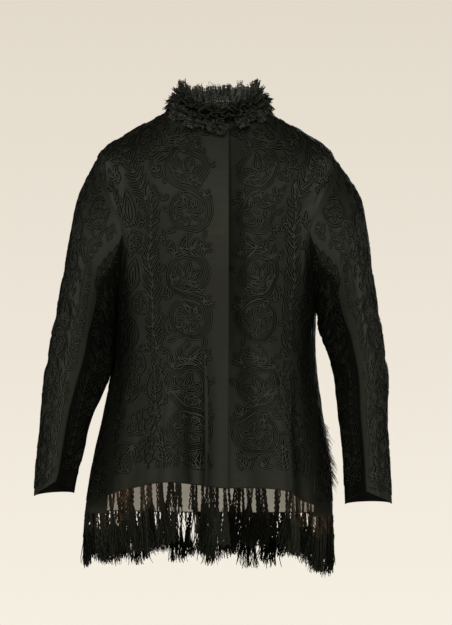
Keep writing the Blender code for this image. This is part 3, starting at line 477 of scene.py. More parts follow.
def spline(rows, at):
    """A smooth curve through evenly spaced rows of numbers, read at row numbers at."""
    rows, at = np.asarray(rows, float), np.asarray(at, float)
    last = len(rows) - 1
    i = np.clip(at.astype(int), 0, last - 1)
    f = (at - i).reshape(at.shape + (1,) * (rows.ndim - 1))
    a, b, c, d = (rows[np.clip(i + k, 0, last)] for k in (-1, 0, 1, 2))
    return 0.5 * (2 * b + (c - a) * f + (2 * a - 5 * b + 4 * c - d) * f**2 + (3 * b - a - 3 * c + d) * f**3)


def smooth(values, count):
    """Count values on a smooth curve through a few evenly spaced ones."""
    return spline(values, np.linspace(0, len(values) - 1, count))


def ease(t):
    t = np.clip(t, 0, 1)
    return t * t * (3 - 2 * t)


def unit(vectors):
    return vectors / np.maximum(np.linalg.norm(vectors, axis=-1, keepdims=True), 1e-12)


def run_lengths(line):
    return np.concatenate([[0.0], np.cumsum(np.linalg.norm(np.diff(line, axis=0), axis=1))])


def even(line, step):
    """A line of points read again at even steps of about step."""
    run = run_lengths(line)
    at = np.linspace(0, run[-1], max(2, round(run[-1] / step) + 1))
    return np.column_stack([np.interp(at, run, line[:, k]) for k in range(line.shape[1])])


def grid_normals(grid):
    return unit(np.cross(np.gradient(grid, axis=0), np.gradient(grid, axis=1)))


def grid_area(grid):
    ways = np.cross(np.diff(grid, axis=0)[:, :-1], np.diff(grid, axis=1)[:-1])
    return float(np.linalg.norm(ways, axis=2).sum())


# The body's surface, as the solids have it

def half_width(side, row):
    return spline(BODY, row)[..., 0 if side == RIGHT else 1]


def fold_depth(turn, z):
    """How far the long folds stand out at turns from the middle front, positive to the left."""
    depth = np.zeros(np.broadcast(turn, z).shape)
    for fold in FOLDS:
        away = np.abs(np.degrees(turn) - fold.side * fold.turn_deg)
        away = np.minimum(away, 360 - away) / fold.width_deg
        depth += fold.depth * ease((fold.top_z - z) / (fold.top_z - BODY[HEM].side_z)) * np.exp(-away**2)
    return depth


def body_points(side, row, turn):
    """Points of the body at sections and at turns from the middle front, in radians."""
    side, row, turn = np.broadcast_arrays(np.asarray(side, float), np.asarray(row, float), turn)
    side = np.where((turn < 0) | (turn > math.pi), -side, side)
    turn = np.where(turn > math.pi, math.tau - turn, np.abs(turn))
    right_x, left_x, side_y, side_z, front_y, front_z, back_y, back_z = np.moveaxis(spline(BODY, row), -1, 0)
    across, forward = np.sin(turn), np.cos(turn)
    deep = np.maximum(0.0, 1 - np.abs(across) ** SQUARE) ** (1 / SQUARE)
    y = side_y + (np.where(forward > 0, front_y, back_y) - side_y) * deep
    z = side_z + (np.where(forward > 0, front_z, back_z) - side_z) * forward**2
    points = np.stack([side * np.where(side < 0, right_x, left_x) * across, y, z], axis=-1)
    outward = np.stack([side * across, -forward, np.zeros_like(z)], axis=-1)
    return points + outward * fold_depth(side * turn, z)[..., None]


def body_normals(side, row, turn):
    small_row, small_turn = 0.02, 0.03
    down = body_points(side, row + small_row, turn) - body_points(side, np.maximum(row - small_row, 0), turn)
    around = body_points(side, row, turn + small_turn) - body_points(side, row, turn - small_turn)
    return unit(np.cross(down, around)) * np.asarray(side)[..., None]


def seam_turns(row, scoop):
    """Where a panel ends: on the shoulder, round the armhole, then down the side seam."""
    share = np.clip((row - SHOULDER) / (UNDERARM - SHOULDER), 0, 1)
    armhole = SHOULDER_TURN + (UNDERARM_TURN - SHOULDER_TURN) * share
    armhole = armhole + scoop * np.abs(np.sin(math.pi * share)) ** SCOOP_POWER
    return np.radians(armhole + (HEM_SEAM_TURN - UNDERARM_TURN) * ease((row - UNDERARM) / (HEM - UNDERARM)))


def set_hem(grid, heights):
    """Stretches the skirt rows so that the last row ends at the hem's heights."""
    wanted = smooth(heights, grid.shape[1])
    share = np.clip((ROWS - UNDERARM) / (HEM - UNDERARM), 0, 1)
    grid[..., 2] += np.outer(share**2, wanted - grid[-1, :, 2])


def front_grid(side):
    first = -np.arcsin(np.minimum(WIDEST_LAP, LAP / half_width(side, ROWS)))
    last = seam_turns(ROWS, -FRONT_SCOOP)
    turn = first[:, None] + np.outer(last - first, np.linspace(0, 1, FRONT_COLUMNS))
    grid = body_points(side, ROWS[:, None], turn)
    if side == LEFT:
        drop = LAP_DROP * ease((LAP_BLEND - grid[..., 0]) / (LAP_BLEND - LAP))
        grid = grid - grid_normals(grid) * drop[..., None]
    set_hem(grid, HEMS["front_right" if side == RIGHT else "front_left"])
    return grid


def back_grid():
    first = seam_turns(ROWS, BACK_SCOOP)
    turn = first[:, None] + np.outer(2 * (math.pi - first), np.linspace(0, 1, BACK_COLUMNS))
    grid = body_points(RIGHT, ROWS[:, None], turn)
    set_hem(grid, HEMS["back"])
    return grid


def armhole_points(side, column):
    """Points round an armhole: columns 0 to 10 run down its front edge and 10 to 20 up its back edge."""
    half = AROUND / 2
    row = SHOULDER + (UNDERARM - SHOULDER) * np.where(column <= half, column, AROUND - column) / half
    return body_points(side, row, seam_turns(row, np.where(column <= half, -FRONT_SCOOP, BACK_SCOOP)))


def sleeve_angles(column):
    seam = math.radians(FRONT_SEAM_DEG)
    quarter = AROUND / 4
    past_seam = seam + (math.pi - seam) * (column / quarter - 1)
    front = np.where(column <= quarter, seam * column / quarter, past_seam)
    return np.where(column <= 2 * quarter, front, math.pi * column / (2 * quarter))


def sleeve_grid(side, first):
    """Half of a sleeve from column first on, from the armhole to the cuff."""
    column = (first + np.linspace(0, AROUND / 2, SLEEVE_COLUMNS)) % AROUND
    angle = sleeve_angles(column)
    from_seam = np.abs(np.degrees(angle) - FRONT_SEAM_DEG)
    rings = [armhole_points(side, column)]
    for section in SLEEVES[side]:
        inwards = (1 - np.cos(angle)) / 2
        x = section.outer_x + (section.inner_x - section.outer_x) * inwards
        z = section.outer_z + (section.inner_z - section.outer_z) * inwards
        y = (section.front_y + section.back_y) / 2 - (section.back_y - section.front_y) / 2 * np.sin(angle)
        y = y - section.crease * np.maximum(0, 1 - from_seam / CREASE_WIDTH_DEG) - INNER_FORWARD * inwards**2
        rings.append(np.stack([side * x, y, z], axis=-1))
    share = np.linspace(0, 1, SLEEVE_ROWS)
    grid = spline(np.array(rings), share * (len(rings) - 1))
    for fold in SLEEVE_FOLDS:
        bend = fold.depth * np.exp(-((np.degrees(angle) - fold.turn_deg) / fold.width_deg) ** 2)
        grid[..., 1] += np.outer(ease((share - SLEEVE_FOLD_TOP) / SLEEVE_FOLD_BLEND), bend)
    notch = CUFF_NOTCH * np.maximum(0, 1 - from_seam / CUFF_NOTCH_DEG) - CUFF_NOTCH / 3
    grid[..., 2] += np.outer(np.clip((share - 1) * CUFF_ROWS + 1, 0, 1), notch)
    if first == FRONT_SEAM:
        set_strip(grid)
    return grid


def set_strip(grid):
    """Draws the under sleeve's first columns together, so that they cover its strip."""
    widths = np.interp(run_lengths(grid[:, 0]), STRIP_DOWNS, STRIP_WIDTHS)
    for i, (row, width) in enumerate(zip(grid, widths)):
        run = run_lengths(row)
        rest = np.linspace(width, run[-1], len(row) - STRIP_COLUMNS)
        at = np.concatenate([np.linspace(0, width, STRIP_COLUMNS, endpoint=False), rest])
        grid[i] = np.column_stack([np.interp(at, run, row[:, k]) for k in range(3)])


class Panel:
    """A cloth panel: a fine grid of points with normals, and flat places measured on it in metres."""

    def __init__(self, kind, grid, guide, facing, seed):
        for edge, inner in ((0, 1), (-1, -2)):
            grid[:, edge] += unit(grid[:, inner] - grid[:, edge]) * SEAM / 2
        self.kind, self.grid, self.facing = kind, grid, facing
        self.normals = grid_normals(grid) * facing
        self.down = run_lengths(grid[:, guide])
        runs = np.cumsum(np.linalg.norm(np.diff(grid, axis=1), axis=2), axis=1)
        runs = np.concatenate([np.zeros((len(grid), 1)), runs], axis=1)
        self.across = runs - runs[:, guide:guide + 1]
        self.crease(np.random.default_rng(seed))

    def crease(self, rng):
        """Presses the panel's creases in, and the small puckers that the cords draw up."""
        moved = np.zeros(self.across.shape)
        down = np.broadcast_to(self.down[:, None], moved.shape)
        for c in CREASES[self.kind]:
            lean = math.radians(c.lean_deg)
            x, y = self.across - c.across, down - c.down
            along = (x * math.sin(lean) + y * math.cos(lean)) / (c.length / 2)
            aside = (x * math.cos(lean) - y * math.sin(lean)) / c.width
            moved += c.depth * np.exp(-aside**2) * np.clip(1 - along**2, 0, 1) ** 2
        drawn = np.zeros(moved.shape)
        for length in PUCKER_LENGTHS:
            for _ in range(2):
                lean, phase = rng.uniform(0, math.pi), rng.uniform(0, math.tau)
                wave = self.across * math.cos(lean) + down * math.sin(lean)
                drawn += PUCKER * np.sin(math.tau * wave / length + phase)
        if self.kind.startswith("front"):
            drawn *= ease((self.across - PLAIN_EDGE) / PLAIN_EDGE)
        moved += drawn
        inset = np.minimum(self.across - self.across[:, :1], self.across[:, -1:] - self.across)
        fade = ease(np.minimum(inset, down) / CREASE_FADE)
        self.grid = self.grid + self.normals * (moved * fade)[..., None]
        self.normals = grid_normals(self.grid) * self.facing

    def place(self, flat):
        """Points and normals at flat places (across, down)."""
        i = np.clip(np.searchsorted(self.down, flat[:, 1]) - 1, 0, len(self.down) - 2)
        f = np.clip((flat[:, 1] - self.down[i]) / (self.down[i + 1] - self.down[i]), 0, 1)
        arcs = self.across[i] * (1 - f[:, None]) + self.across[i + 1] * f[:, None]
        j = np.clip((arcs < flat[:, :1]).sum(axis=1) - 1, 0, arcs.shape[1] - 2)
        k = np.arange(len(flat))
        g = np.clip((flat[:, 0] - arcs[k, j]) / (arcs[k, j + 1] - arcs[k, j]), 0, 1)
        f, g = f[:, None], g[:, None]
        points, normals = (
            (values[i, j] * (1 - g) + values[i, j + 1] * g) * (1 - f)
            + (values[i + 1, j] * (1 - g) + values[i + 1, j + 1] * g) * f
            for values in (self.grid, self.normals))
        return points, unit(normals)

    def inside(self, flat, zone):
        """Which flat places lie inside the part of the panel that cords may cover."""
        low = np.interp(flat[:, 1], self.down, self.across[:, 0]) + SEAM_MARGIN
        high = np.interp(flat[:, 1], self.down, self.across[:, -1]) - SEAM_MARGIN
        level = (flat[:, 1] > zone.top) & (flat[:, 1] < self.down[-1] - zone.hem)
        return level & (flat[:, 0] > np.maximum(low, zone.low)) & (flat[:, 0] < high)

    def cut(self):
        """Width, length and area of the flat cut."""
        area = grid_area(self.grid)
        width, length = float(np.ptp(self.across)), float(self.down[-1])
        return (width, max(length, area / width)), area


@functools.cache
def panel(name):
    """The panel that a cloth node of the solids stands for."""
    side = LEFT if name.endswith("left") else RIGHT
    if name.startswith("front"):
        return Panel(name, front_grid(side), 0, side, SEED + side)
    if name == "back":
        return Panel("back", back_grid(), BACK_COLUMNS // 2, -1, SEED)
    if name.startswith("sleeve_outer"):
        return Panel("outer", sleeve_grid(side, BACK_SEAM), SLEEVE_COLUMNS // 2, -side, SEED + 2 * side)
    return Panel("under", sleeve_grid(side, FRONT_SEAM), 0, -side, SEED + 3 * side)


# Meshes

def add_piece(name, points, faces, materials, replaced, flat=None, indices=None):
    """A joined mesh as one piece of the garment."""
    mesh = bpy.data.meshes.new(name)
    mesh.from_pydata(points.tolist(), [], faces)
    for material in materials:
        mesh.materials.append(material)
    if indices is not None:
        mesh.polygons.foreach_set("material_index", np.asarray(indices, np.int32))
    if flat is not None:
        place = mesh.attributes.new("flat", "FLOAT_VECTOR", "POINT")
        place.data.foreach_set("vector", np.asarray(flat, np.float32).ravel())
    mesh.shade_smooth()
    mesh.set_sharp_from_angle(angle=math.radians(SHARP_DEG))
    obj = bpy.data.objects.new(name, mesh)
    bpy.context.scene.collection.objects.link(obj)
    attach(obj, "root")
    if replaced:
        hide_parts(*replaced)
    return obj


def grid_quads(rows, columns):
    corner = np.arange(rows * columns).reshape(rows, columns)
    quads = np.stack([corner[:-1, :-1], corner[1:, :-1], corner[1:, 1:], corner[:-1, 1:]], axis=-1)
    return quads.reshape(-1, 4)


def shell(name, cloth, materials, strip=0):
    """A panel's silk with its lining, closed round its edges. Its first strip columns are another silk."""
    own = panel(name)
    rows, columns = own.across.shape
    count = rows * columns
    outer = own.grid.reshape(-1, 3)
    points = np.vstack([outer, outer - own.normals.reshape(-1, 3) * cloth.wall])
    flat = np.stack(np.broadcast_arrays(own.across, own.down[:, None], 0.0), axis=-1)
    number = np.arange(count).reshape(rows, columns)
    rim = np.concatenate([number[0], number[1:, -1], number[-1, -2::-1], number[-2:0:-1, 0]])
    ahead = np.roll(rim, -1)
    outside = grid_quads(rows, columns)
    sides = np.stack([rim, ahead, ahead + count, rim + count], axis=-1)
    faces = np.vstack([outside, outside[:, ::-1] + count, sides])
    if own.facing < 0:
        faces = faces[:, ::-1]
    indices = np.repeat((0, 1, 0), (len(outside), len(outside), len(sides)))
    indices[:len(outside)].reshape(rows - 1, columns - 1)[:, :strip] = 2
    spread = np.vstack([flat.reshape(-1, 3)] * 2)
    return add_piece(f"{name}_cloth", points, faces.tolist(), materials, [name], spread, indices)


def tubes(lines, ways, radius, sides):
    """Closed tubes along lines of equal counts. A tube's first side looks along its way."""
    count, steps = lines.shape[:2]
    along = unit(np.gradient(lines, axis=1))
    ways = np.broadcast_to(ways, lines.shape)
    first = unit(ways - along * (ways * along).sum(axis=-1, keepdims=True))
    second = np.cross(along, first)
    turn = math.tau * np.arange(sides) / sides
    ring = first[:, :, None] * np.cos(turn)[:, None] + second[:, :, None] * np.sin(turn)[:, None]
    points = lines[:, :, None] + ring * np.broadcast_to(radius, (count, steps))[..., None, None]
    number = np.arange(count * steps * sides).reshape(count, steps, sides)
    beside = np.roll(number, -1, axis=2)
    walls = np.stack([number[:, :-1], beside[:, :-1], beside[:, 1:], number[:, 1:]], axis=-1).reshape(-1, 4)
    caps = np.vstack([number[:, 0, ::-1], number[:, -1]])
    run = np.linalg.norm(np.diff(lines, axis=1), axis=2).cumsum(axis=1)
    run = np.concatenate([np.zeros((count, 1)), run], axis=1)
    flat = np.stack(np.broadcast_arrays(run[..., None], turn / math.tau, 0.0), axis=-1).reshape(-1, 3)
    return points.reshape(-1, 3), walls.tolist() + caps.tolist(), flat


def joined(parts):
    """Points, faces and flat places of several parts as one mesh."""
    points, faces, flats, start = [], [], [], 0
    for part_points, part_faces, part_flat in parts:
        points.append(part_points)
        flats.append(part_flat)
        faces += [[corner + start for corner in face] for face in part_faces]
        start += len(part_points)
    return np.vstack(points), faces, np.vstack(flats)


# Couched motifs: each gives flat lines about its base, and points up the panel

def turned(lines, turn=0.0, across=0.0, down=0.0, flip=1):
    """Lines turned clockwise by degrees, mirrored where flip is -1, and moved."""
    angle = math.radians(turn)
    spin = np.array(((math.cos(angle), math.sin(angle)), (-math.sin(angle), math.cos(angle))))
    return [line @ spin * (flip, 1) + (across, down) for line in lines]


def beside(line, distance):
    way = unit(np.gradient(line, axis=0))
    return line + np.column_stack([-way[:, 1], way[:, 0]]) * distance


def arc(radius, first, last, middle=(0.0, 0.0)):
    """Part of a circle between two angles, in degrees clockwise from the top."""
    angle = np.radians(np.linspace(first, last, 2 + int(abs(last - first) / 12)))
    return np.column_stack([radius * np.sin(angle), -radius * np.cos(angle)]) + middle


def spiral(radius, turns):
    share = np.linspace(0.12, 1, int(26 * turns))
    angle = math.tau * turns * share
    return np.column_stack([radius * share * np.sin(angle), -radius * share * np.cos(angle)])


def bowed(size, bow):
    share = np.linspace(0, 1, 90)
    return np.column_stack([bow * np.sin(math.pi * share), -size * share])


def leaf(length, slim, vein=True):
    """A leaf's outline, slim times as wide as long, and its vein."""
    share = np.linspace(0, 1, LEAF_POINTS)
    right = np.column_stack([slim * length / 2 * np.sin(math.pi * share**0.8), -length * share])
    lines = [np.vstack([right, (right * (-1, 1))[::-1][1:]])]
    if vein and slim * length > VEIN_ROOM:
        lines.append(np.array(((0, 0), (0, -0.7 * length))))
    return lines


def leaves_at(turns, lengths, slim, vein=True, base=0.0):
    """Leaves that spread from one point, or from a ring of radius base."""
    lines = []
    for turn, length in zip(turns, np.broadcast_to(lengths, len(turns))):
        lines += turned(turned(leaf(length, slim, vein), down=-base), turn)
    return lines


def leaves_along(line, shares, lengths, lean, slim=0.36, vein=False, sides=(1, -1)):
    """Leaves that stand off a line at shares of it, leaning forward by lean degrees."""
    lines = []
    for share, length in zip(shares, np.broadcast_to(lengths, len(shares))):
        k = int(share * (len(line) - 1))
        way = line[min(k + 1, len(line) - 1)] - line[max(k - 1, 0)]
        heading = math.degrees(math.atan2(way[0], -way[1]))
        for side in sides:
            lines += turned(leaf(length, slim, vein), heading + side * lean, *line[k])
    return lines


def tuft(size):
    return leaves_at((-52, 0, 52), size * np.array((0.8, 1.0, 0.8)), 0.42)


def spray(size):
    return [np.array(((0, 0.25 * size), (0, 0)))] + leaves_at((-62, -26, 0, 26, 62), size, 0.30)


def fan(size):
    """Three long veined leaves."""
    lines = leaves_at((-38, 4, 46), size * np.array((0.85, 1.0, 0.8)), 0.36)
    return lines + leaves_at((4,), 0.66 * size, 0.2)


def sprig(size):
    """A bowed stem with long veined leaves in pairs and one at its tip."""
    stem = bowed(0.62 * size, 0.10 * size)
    lines = [stem] + turned(leaf(0.4 * size, 0.34), 0, *stem[-1])
    return lines + leaves_along(stem, (0.12, 0.5, 0.88), 0.38 * size, 40, 0.34, True)


def bloom(radius):
    """A blossom: a curl inside a ring of swirling petals, each with a smaller one inside."""
    petal = leaf(0.66 * radius, 0.62, False) + turned(leaf(0.44 * radius, 0.44, False), down=-0.12 * radius)
    petal = turned(petal, 32, 0, -0.36 * radius)
    lines = [spiral(0.30 * radius, 1.2)]
    for k in range(7):
        lines += turned(petal, 360 * k / 7)
    return lines


def palmette(radius):
    """Five swelling petals from one foot, each with a smaller one inside, over two curls."""
    lines = [arc(0.17 * radius, 0, 360, (side * 0.40 * radius, 0.74 * radius)) for side in (1, -1)]
    for turn, length in zip((-84, -42, 0, 42, 84), (0.80, 1.08, 1.24, 1.08, 0.80)):
        petal = leaf(length * radius, 0.48, False)
        petal += turned(leaf(0.68 * length * radius, 0.36, False), down=-0.15 * length * radius)
        lines += turned(turned(petal, 14, 0, -0.20 * radius), turn, 0, 0.56 * radius)
    return lines


def wheel(radius):
    """A blossom inside two rings."""
    return bloom(0.72 * radius) + [arc(share * radius, 0, 360) for share in (0.84, 1.02)]


def rose(radius):
    """Rows of round petals about a bud, with leaves outside."""
    lines = [arc(0.14 * radius, 0, 360)]
    for share, petals in ((0.58, 4), (1.0, 6)):
        petal = arc(0.40 * share * radius, -112, 112, (0, -0.62 * share * radius))
        for k in range(petals):
            lines += turned([petal], 360 * (k + share) / petals)
    return lines + leaves_at(np.arange(7) * 360 / 7 + 25, 0.42 * radius, 0.44, False, radius)


def medallion(radius):
    return [arc(radius, 0, 360)] + leaves_at(np.arange(6) * 60, 0.60 * radius, 0.55, False, 0.18 * radius)


def oval(size):
    """A leaf inside a leaf, with a vein."""
    return leaf(size, 0.62, False) + turned(leaf(0.74 * size, 0.42), down=-0.11 * size)


def plume(size):
    """A large leaf with close leaflets inside and teeth outside."""
    outline = leaf(size, 0.44, False)
    stem = bowed(0.84 * size, 0.0)
    lines = outline + [stem] + leaves_along(stem, np.linspace(0.08, 0.92, 7), 0.18 * size, 42)
    edge = outline[0][:LEAF_POINTS]
    teeth = np.linspace(0.15, 0.9, 6)
    for side in (1, -1):
        lines += leaves_along(edge * (side, 1), teeth, 0.12 * size, 50, 0.4, sides=(side,))
    return lines


def frond(size):
    """A fern frond: a stem with close pairs of narrow leaflets that shorten to its tip."""
    stem = bowed(size, 0.02 * size)
    shares = np.linspace(0.02, 0.95, int(size / FROND_PITCH))
    lines = [stem] + turned(leaf(FROND_TIP, 0.32), 0, *stem[-1])
    return lines + leaves_along(stem, shares, FROND_LEAF * (1 - 0.30 * shares**3), 36, 0.30, True)


def wheat(size):
    """An ear of wheat: close pairs of short leaves."""
    stem = bowed(size, 0.0)
    return leaves_along(stem, np.linspace(0.02, 0.98, int(size / WHEAT_PITCH)), WHEAT_LEAF, 33)


def ribs(size):
    """A herringbone of long narrow loops."""
    stem = bowed(size, 0.0)
    return leaves_along(stem, np.linspace(0.02, 0.98, int(size / RIB_PITCH)), RIB_LOOP, 44, 0.26, True)


def vine(size):
    """A waving double stem with leaves on both sides, and tendrils in its bends."""
    share = np.linspace(0, 1, 120)
    bends = max(2, round(size / VINE_BEND))
    stem = np.column_stack([VINE_SWING * np.sin(math.pi * bends * share), -size * share])
    lines = [stem, stem + (DOUBLE, 0)]
    lines += leaves_along(stem, np.linspace(0.04, 0.98, 3 * bends), VINE_LEAF, 52, 0.40, True)
    for k in range(bends):
        way = 1 if k % 2 else -1
        across, down = stem[int((k + 0.5) / bends * (len(stem) - 1))]
        lines += turned([spiral(TENDRIL, 1.5)], 0, across + way * TENDRIL_ASIDE, down + TENDRIL_DOWN, way)
    return lines


def crook(size):
    """A double stem that ends in a hook, with leaves below it."""
    line = np.vstack([((0, 0),), arc(0.15 * size, -90, 190, (0.15 * size, -0.72 * size))])
    line = even(line, 0.003)
    stem = line[:int(0.5 * len(line))]
    return [line, beside(line, DOUBLE)] + leaves_along(stem, (0.25, 0.5, 0.75), 0.2 * size, 38, 0.4, True)


def ladder(size):
    """A band of slanting bars between two rails."""
    half = 0.13 * size
    rails = [np.array(((side * half, 0), (side * half, -size))) for side in (-1, 1)]
    bars = np.linspace(0, 1, int(size / LADDER_PITCH))
    return rails + [np.array(((-half, -size * t), (half, -size * t - half))) for t in bars]


def scroll_line(reach):
    """An S of two spirals from one eye to the other, on the same line as the raised braid."""
    share = np.linspace(0, 1, 70)
    radius = reach * (SCROLL_INNER + (1 - SCROLL_INNER) * share**SCROLL_POWER)
    angle = math.pi / 2 - math.tau * SCROLL_TURNS * (1 - share)
    half = np.column_stack([radius * np.cos(angle), -reach + radius * np.sin(angle)])
    return np.vstack([half, -half[::-1][1:]])


def scroll(reach):
    """What goes with a braid scroll: a palmette in one eye, a blossom in the other, and leaves outside."""
    line = scroll_line(reach)
    lines = turned(palmette(0.78 * reach), -30, 0, -reach) + turned(bloom(0.74 * reach), 0, 0, reach)
    for side, first, last in ((-1, 0.20, 0.48), (1, 0.52, 0.80)):
        lines.append(beside(line, side * SCROLL_RAIL))
        outside = beside(line, side * (SCROLL_RAIL + WREATH_GAP))
        lines += leaves_along(outside, np.linspace(first, last, 7), 0.42 * reach, 46, 0.42, True, (side,))
    return lines


SHAPES = {shape.__name__: shape for shape in (
    tuft, spray, fan, sprig, wheel, rose, medallion, oval,
    plume, frond, wheat, ribs, vine, crook, ladder, scroll,
)}


def smooth_steps(line):
    """A line read again with as many steps as its length and its turns need."""
    way = unit(np.diff(line, axis=0))
    turns = np.arccos(np.clip((way[1:] * way[:-1]).sum(axis=1), -1, 1)).sum()
    length = run_lengths(line)[-1]
    return even(line, length / max(2, length / LONGEST_STEP, turns / SHARPEST_STEP))


def hand_laid(line):
    """A line as a hand lays it: neighbouring lines wander together, so that they stay side by side."""
    wander = np.zeros(line.shape)
    for hand in HAND_WAVES:
        wave = math.tau * (line[:, 0] / hand.across + line[:, 1] / hand.down)
        wander += hand.size * np.column_stack([np.sin(wave), np.cos(HAND_SKEW * wave)])
    return line + wander * ease(np.abs(line[:, :1]) / CALM)


def fillers(own, lines, zone, rng):
    """Small leaves in the places of a panel that the motifs leave free."""
    taken = np.vstack([smooth_steps(line) for line in lines])
    across = np.arange(own.across.min(), own.across.max(), FILLER.pitch)
    places = np.stack(np.meshgrid(across, np.arange(0, own.down[-1], FILLER.pitch)), axis=-1).reshape(-1, 2)
    places = places + rng.uniform(-FILLER.jitter, FILLER.jitter, places.shape) * FILLER.pitch
    places = places[own.inside(places, zone._replace(low=zone.low + FILLER.size))]
    lines = []
    for place in places:
        if np.abs(taken - place).max(axis=1).min() > FILLER.clear and rng.uniform() < FILLER.share:
            turn = rng.uniform(-FILLER.turn_deg, FILLER.turn_deg)
            lines += turned(leaves_at((-40, 40), FILLER.size, 0.4, False), turn, *place)
    return lines


def cord_part(own, lines, zone, width, height):
    """Raised cords that follow flat lines on a panel, cut off where they leave its zone."""
    kept = []
    for line in lines:
        line = smooth_steps(line)
        inside = own.inside(line, zone)
        if inside.mean() < LEAST_INSIDE:
            continue
        for run in np.split(np.arange(len(line)), np.flatnonzero(np.diff(inside)) + 1):
            if inside[run[0]] and len(run) > 2:
                kept.append(line[run])
    flat = np.vstack(kept)
    way = np.vstack([unit(np.gradient(line, axis=0)) for line in kept])
    left = np.column_stack([-way[:, 1], way[:, 0]])
    rails = []
    for aside, lift in CORD_PROFILE:
        points, normals = own.place(flat + left * aside * width / 2)
        rails.append(points + normals * lift * height)
    points = np.stack(rails, axis=1)
    ends = np.cumsum([len(line) for line in kept])
    starts = np.concatenate([[0], ends[:-1]])
    number = np.arange(len(flat) * 4).reshape(-1, 4)
    inner = np.setdiff1d(np.arange(len(flat)), ends - 1)
    ahead = np.roll(number, -1, axis=1)
    walls = np.stack([number[inner], number[inner + 1], ahead[inner + 1], ahead[inner]], axis=-1)
    faces = np.vstack([walls.reshape(-1, 4), number[starts], number[ends - 1][:, ::-1]])
    top = np.cross(points[inner + 1, 1] - points[inner, 1], points[inner, 2] - points[inner, 1])
    if (top * own.place(flat[inner])[1]).sum() < 0:
        faces = faces[:, ::-1]
    run = np.concatenate([run_lengths(line) for line in kept])
    raised = [lift > 0 for aside, lift in CORD_PROFILE]
    thread = np.stack(np.broadcast_arrays(run[:, None], np.arange(4) / 4, raised), axis=-1)
    return points.reshape(-1, 3), faces.tolist(), thread.reshape(-1, 3)


def couch(name, scrolls, others, zone, cloth, materials, replaced, shift=0.0, flips=(1,)):
    """All the cords of a panel as one piece: braid on the scrolls and fine cords on the rest.

    The first material is for their tops, painted lighter as highlight, and the second for their sides,
    painted near black as shade.
    """
    own = panel(name)
    braids, cords = [], []
    for flip in flips:
        for motif in scrolls + others:
            place = (motif.turn, flip * (motif.across + shift), motif.down, flip)
            cords += turned(SHAPES[motif.shape](motif.size), *place)
            if motif.shape == "scroll":
                line = scroll_line(motif.size)
                braids += turned([beside(line, aside * cloth.braid_width / 4) for aside in (1, -1)], *place)
    cords, braids = ([hand_laid(line) for line in lines] for lines in (cords, braids))
    cords += fillers(own, cords, zone, np.random.default_rng(SEED))
    parts = [cord_part(own, cords, zone, cloth.cord_width, cloth.cord_height)]
    if braids:
        parts.append(cord_part(own, braids, zone, cloth.braid_width / 2, cloth.braid_height))
    points, faces, thread = joined(parts)
    # faces on the cords' sides get the second material, painted in shade
    tops = (thread[np.array(faces)][..., 2] > 0).all(axis=1)
    return add_piece(f"{name}_cords", points, faces, materials, replaced, thread, ~tops)


# Materials

# Sizes of their patterns. The silk's real ribs lie 0.5 mm apart and the soutache's 0.8 mm; both are drawn
# coarser so that they show
WEFT, WARP, CLOUD, SLUB = 0.0016, 0.0021, 0.030, (0.045, 0.0035)
LINING_WEAVE, STAIN = 0.0015, 0.060
SOUTACHE_RIB, EDGE_PLY, CORD_PLY, FLOSS_PLY = 0.0020, 0.0016, 0.0022, 0.0060
LACE_DOT, LACE_CLOUD = 0.0032, 0.009
WORN_STREAK = (0.009, 0.009, 0.035)
WORN_X, WORN_FAR, WORN_NEAR = 0.158, 0.075, 0.030  # middle of a worn side, and where wear starts and is full
MOTTLE = 1 / 3
SILK_TINT, SOUTACHE_TINT = (0.97, 1.0, 0.76, 1), (0.98, 1.0, 0.78, 1)  # black silk shines a little green
LACE_TINT, THREAD_TINT = (0.97, 1.0, 0.80, 1), (0.97, 1.0, 0.72, 1)
# The cords on the under sleeves are painted in shade: less glossy and darker
SOUTACHE_GLOSS, SHADED_CORD_GLOSS, SHADED_CORD_TONE = 0.58, 0.25, 0.7


def link(tree, node, links):
    """Links other nodes' outputs to a node's inputs."""
    for name, (source, output) in links.items():
        tree.links.new(source.outputs[output], node.inputs[name])


def add_node(tree, kind, values=None, links=None, **settings):
    """Adds a node with its settings, input values and links from other nodes' outputs."""
    made = tree.nodes.new(kind)
    for name, value in settings.items():
        setattr(made, name, value)
    for name, value in (values or {}).items():
        made.inputs[name].default_value = value
    link(tree, made, links or {})
    return made


def start_material(name, **shader_values):
    """A material with a Principled shader whose fixed values are set on its own sockets."""
    material = bpy.data.materials.new(name)
    material.use_nodes = True
    tree = material.node_tree
    shader = tree.nodes["Principled BSDF"]
    for socket, value in shader_values.items():
        shader.inputs[socket.replace("_", " ")].default_value = value
    return material, tree, shader


def set_surface(tree, shader, colour, height, strength, depth):
    """Gives a shader its colour and the relief of a texture, so many metres deep."""
    bump = add_node(tree, "ShaderNodeBump", {"Strength": strength, "Distance": depth}, {"Height": height})
    link(tree, shader, {"Base Color": (colour, "Result"), "Normal": (bump, "Normal")})


def band_scale(spacing):
    """Scale of a wave texture whose bands are that far apart."""
    return math.pi / 10 / spacing


def grey_between(tree, source, output, colour, low, high):
    """The colour from low to high times itself, as a texture says."""
    ends = [tuple(c * share for c in colour) + (1,) for share in (low, high)]
    return add_node(
        tree, "ShaderNodeMix", {"A": ends[0], "B": ends[1]}, {"Factor": (source, output)}, data_type="RGBA")


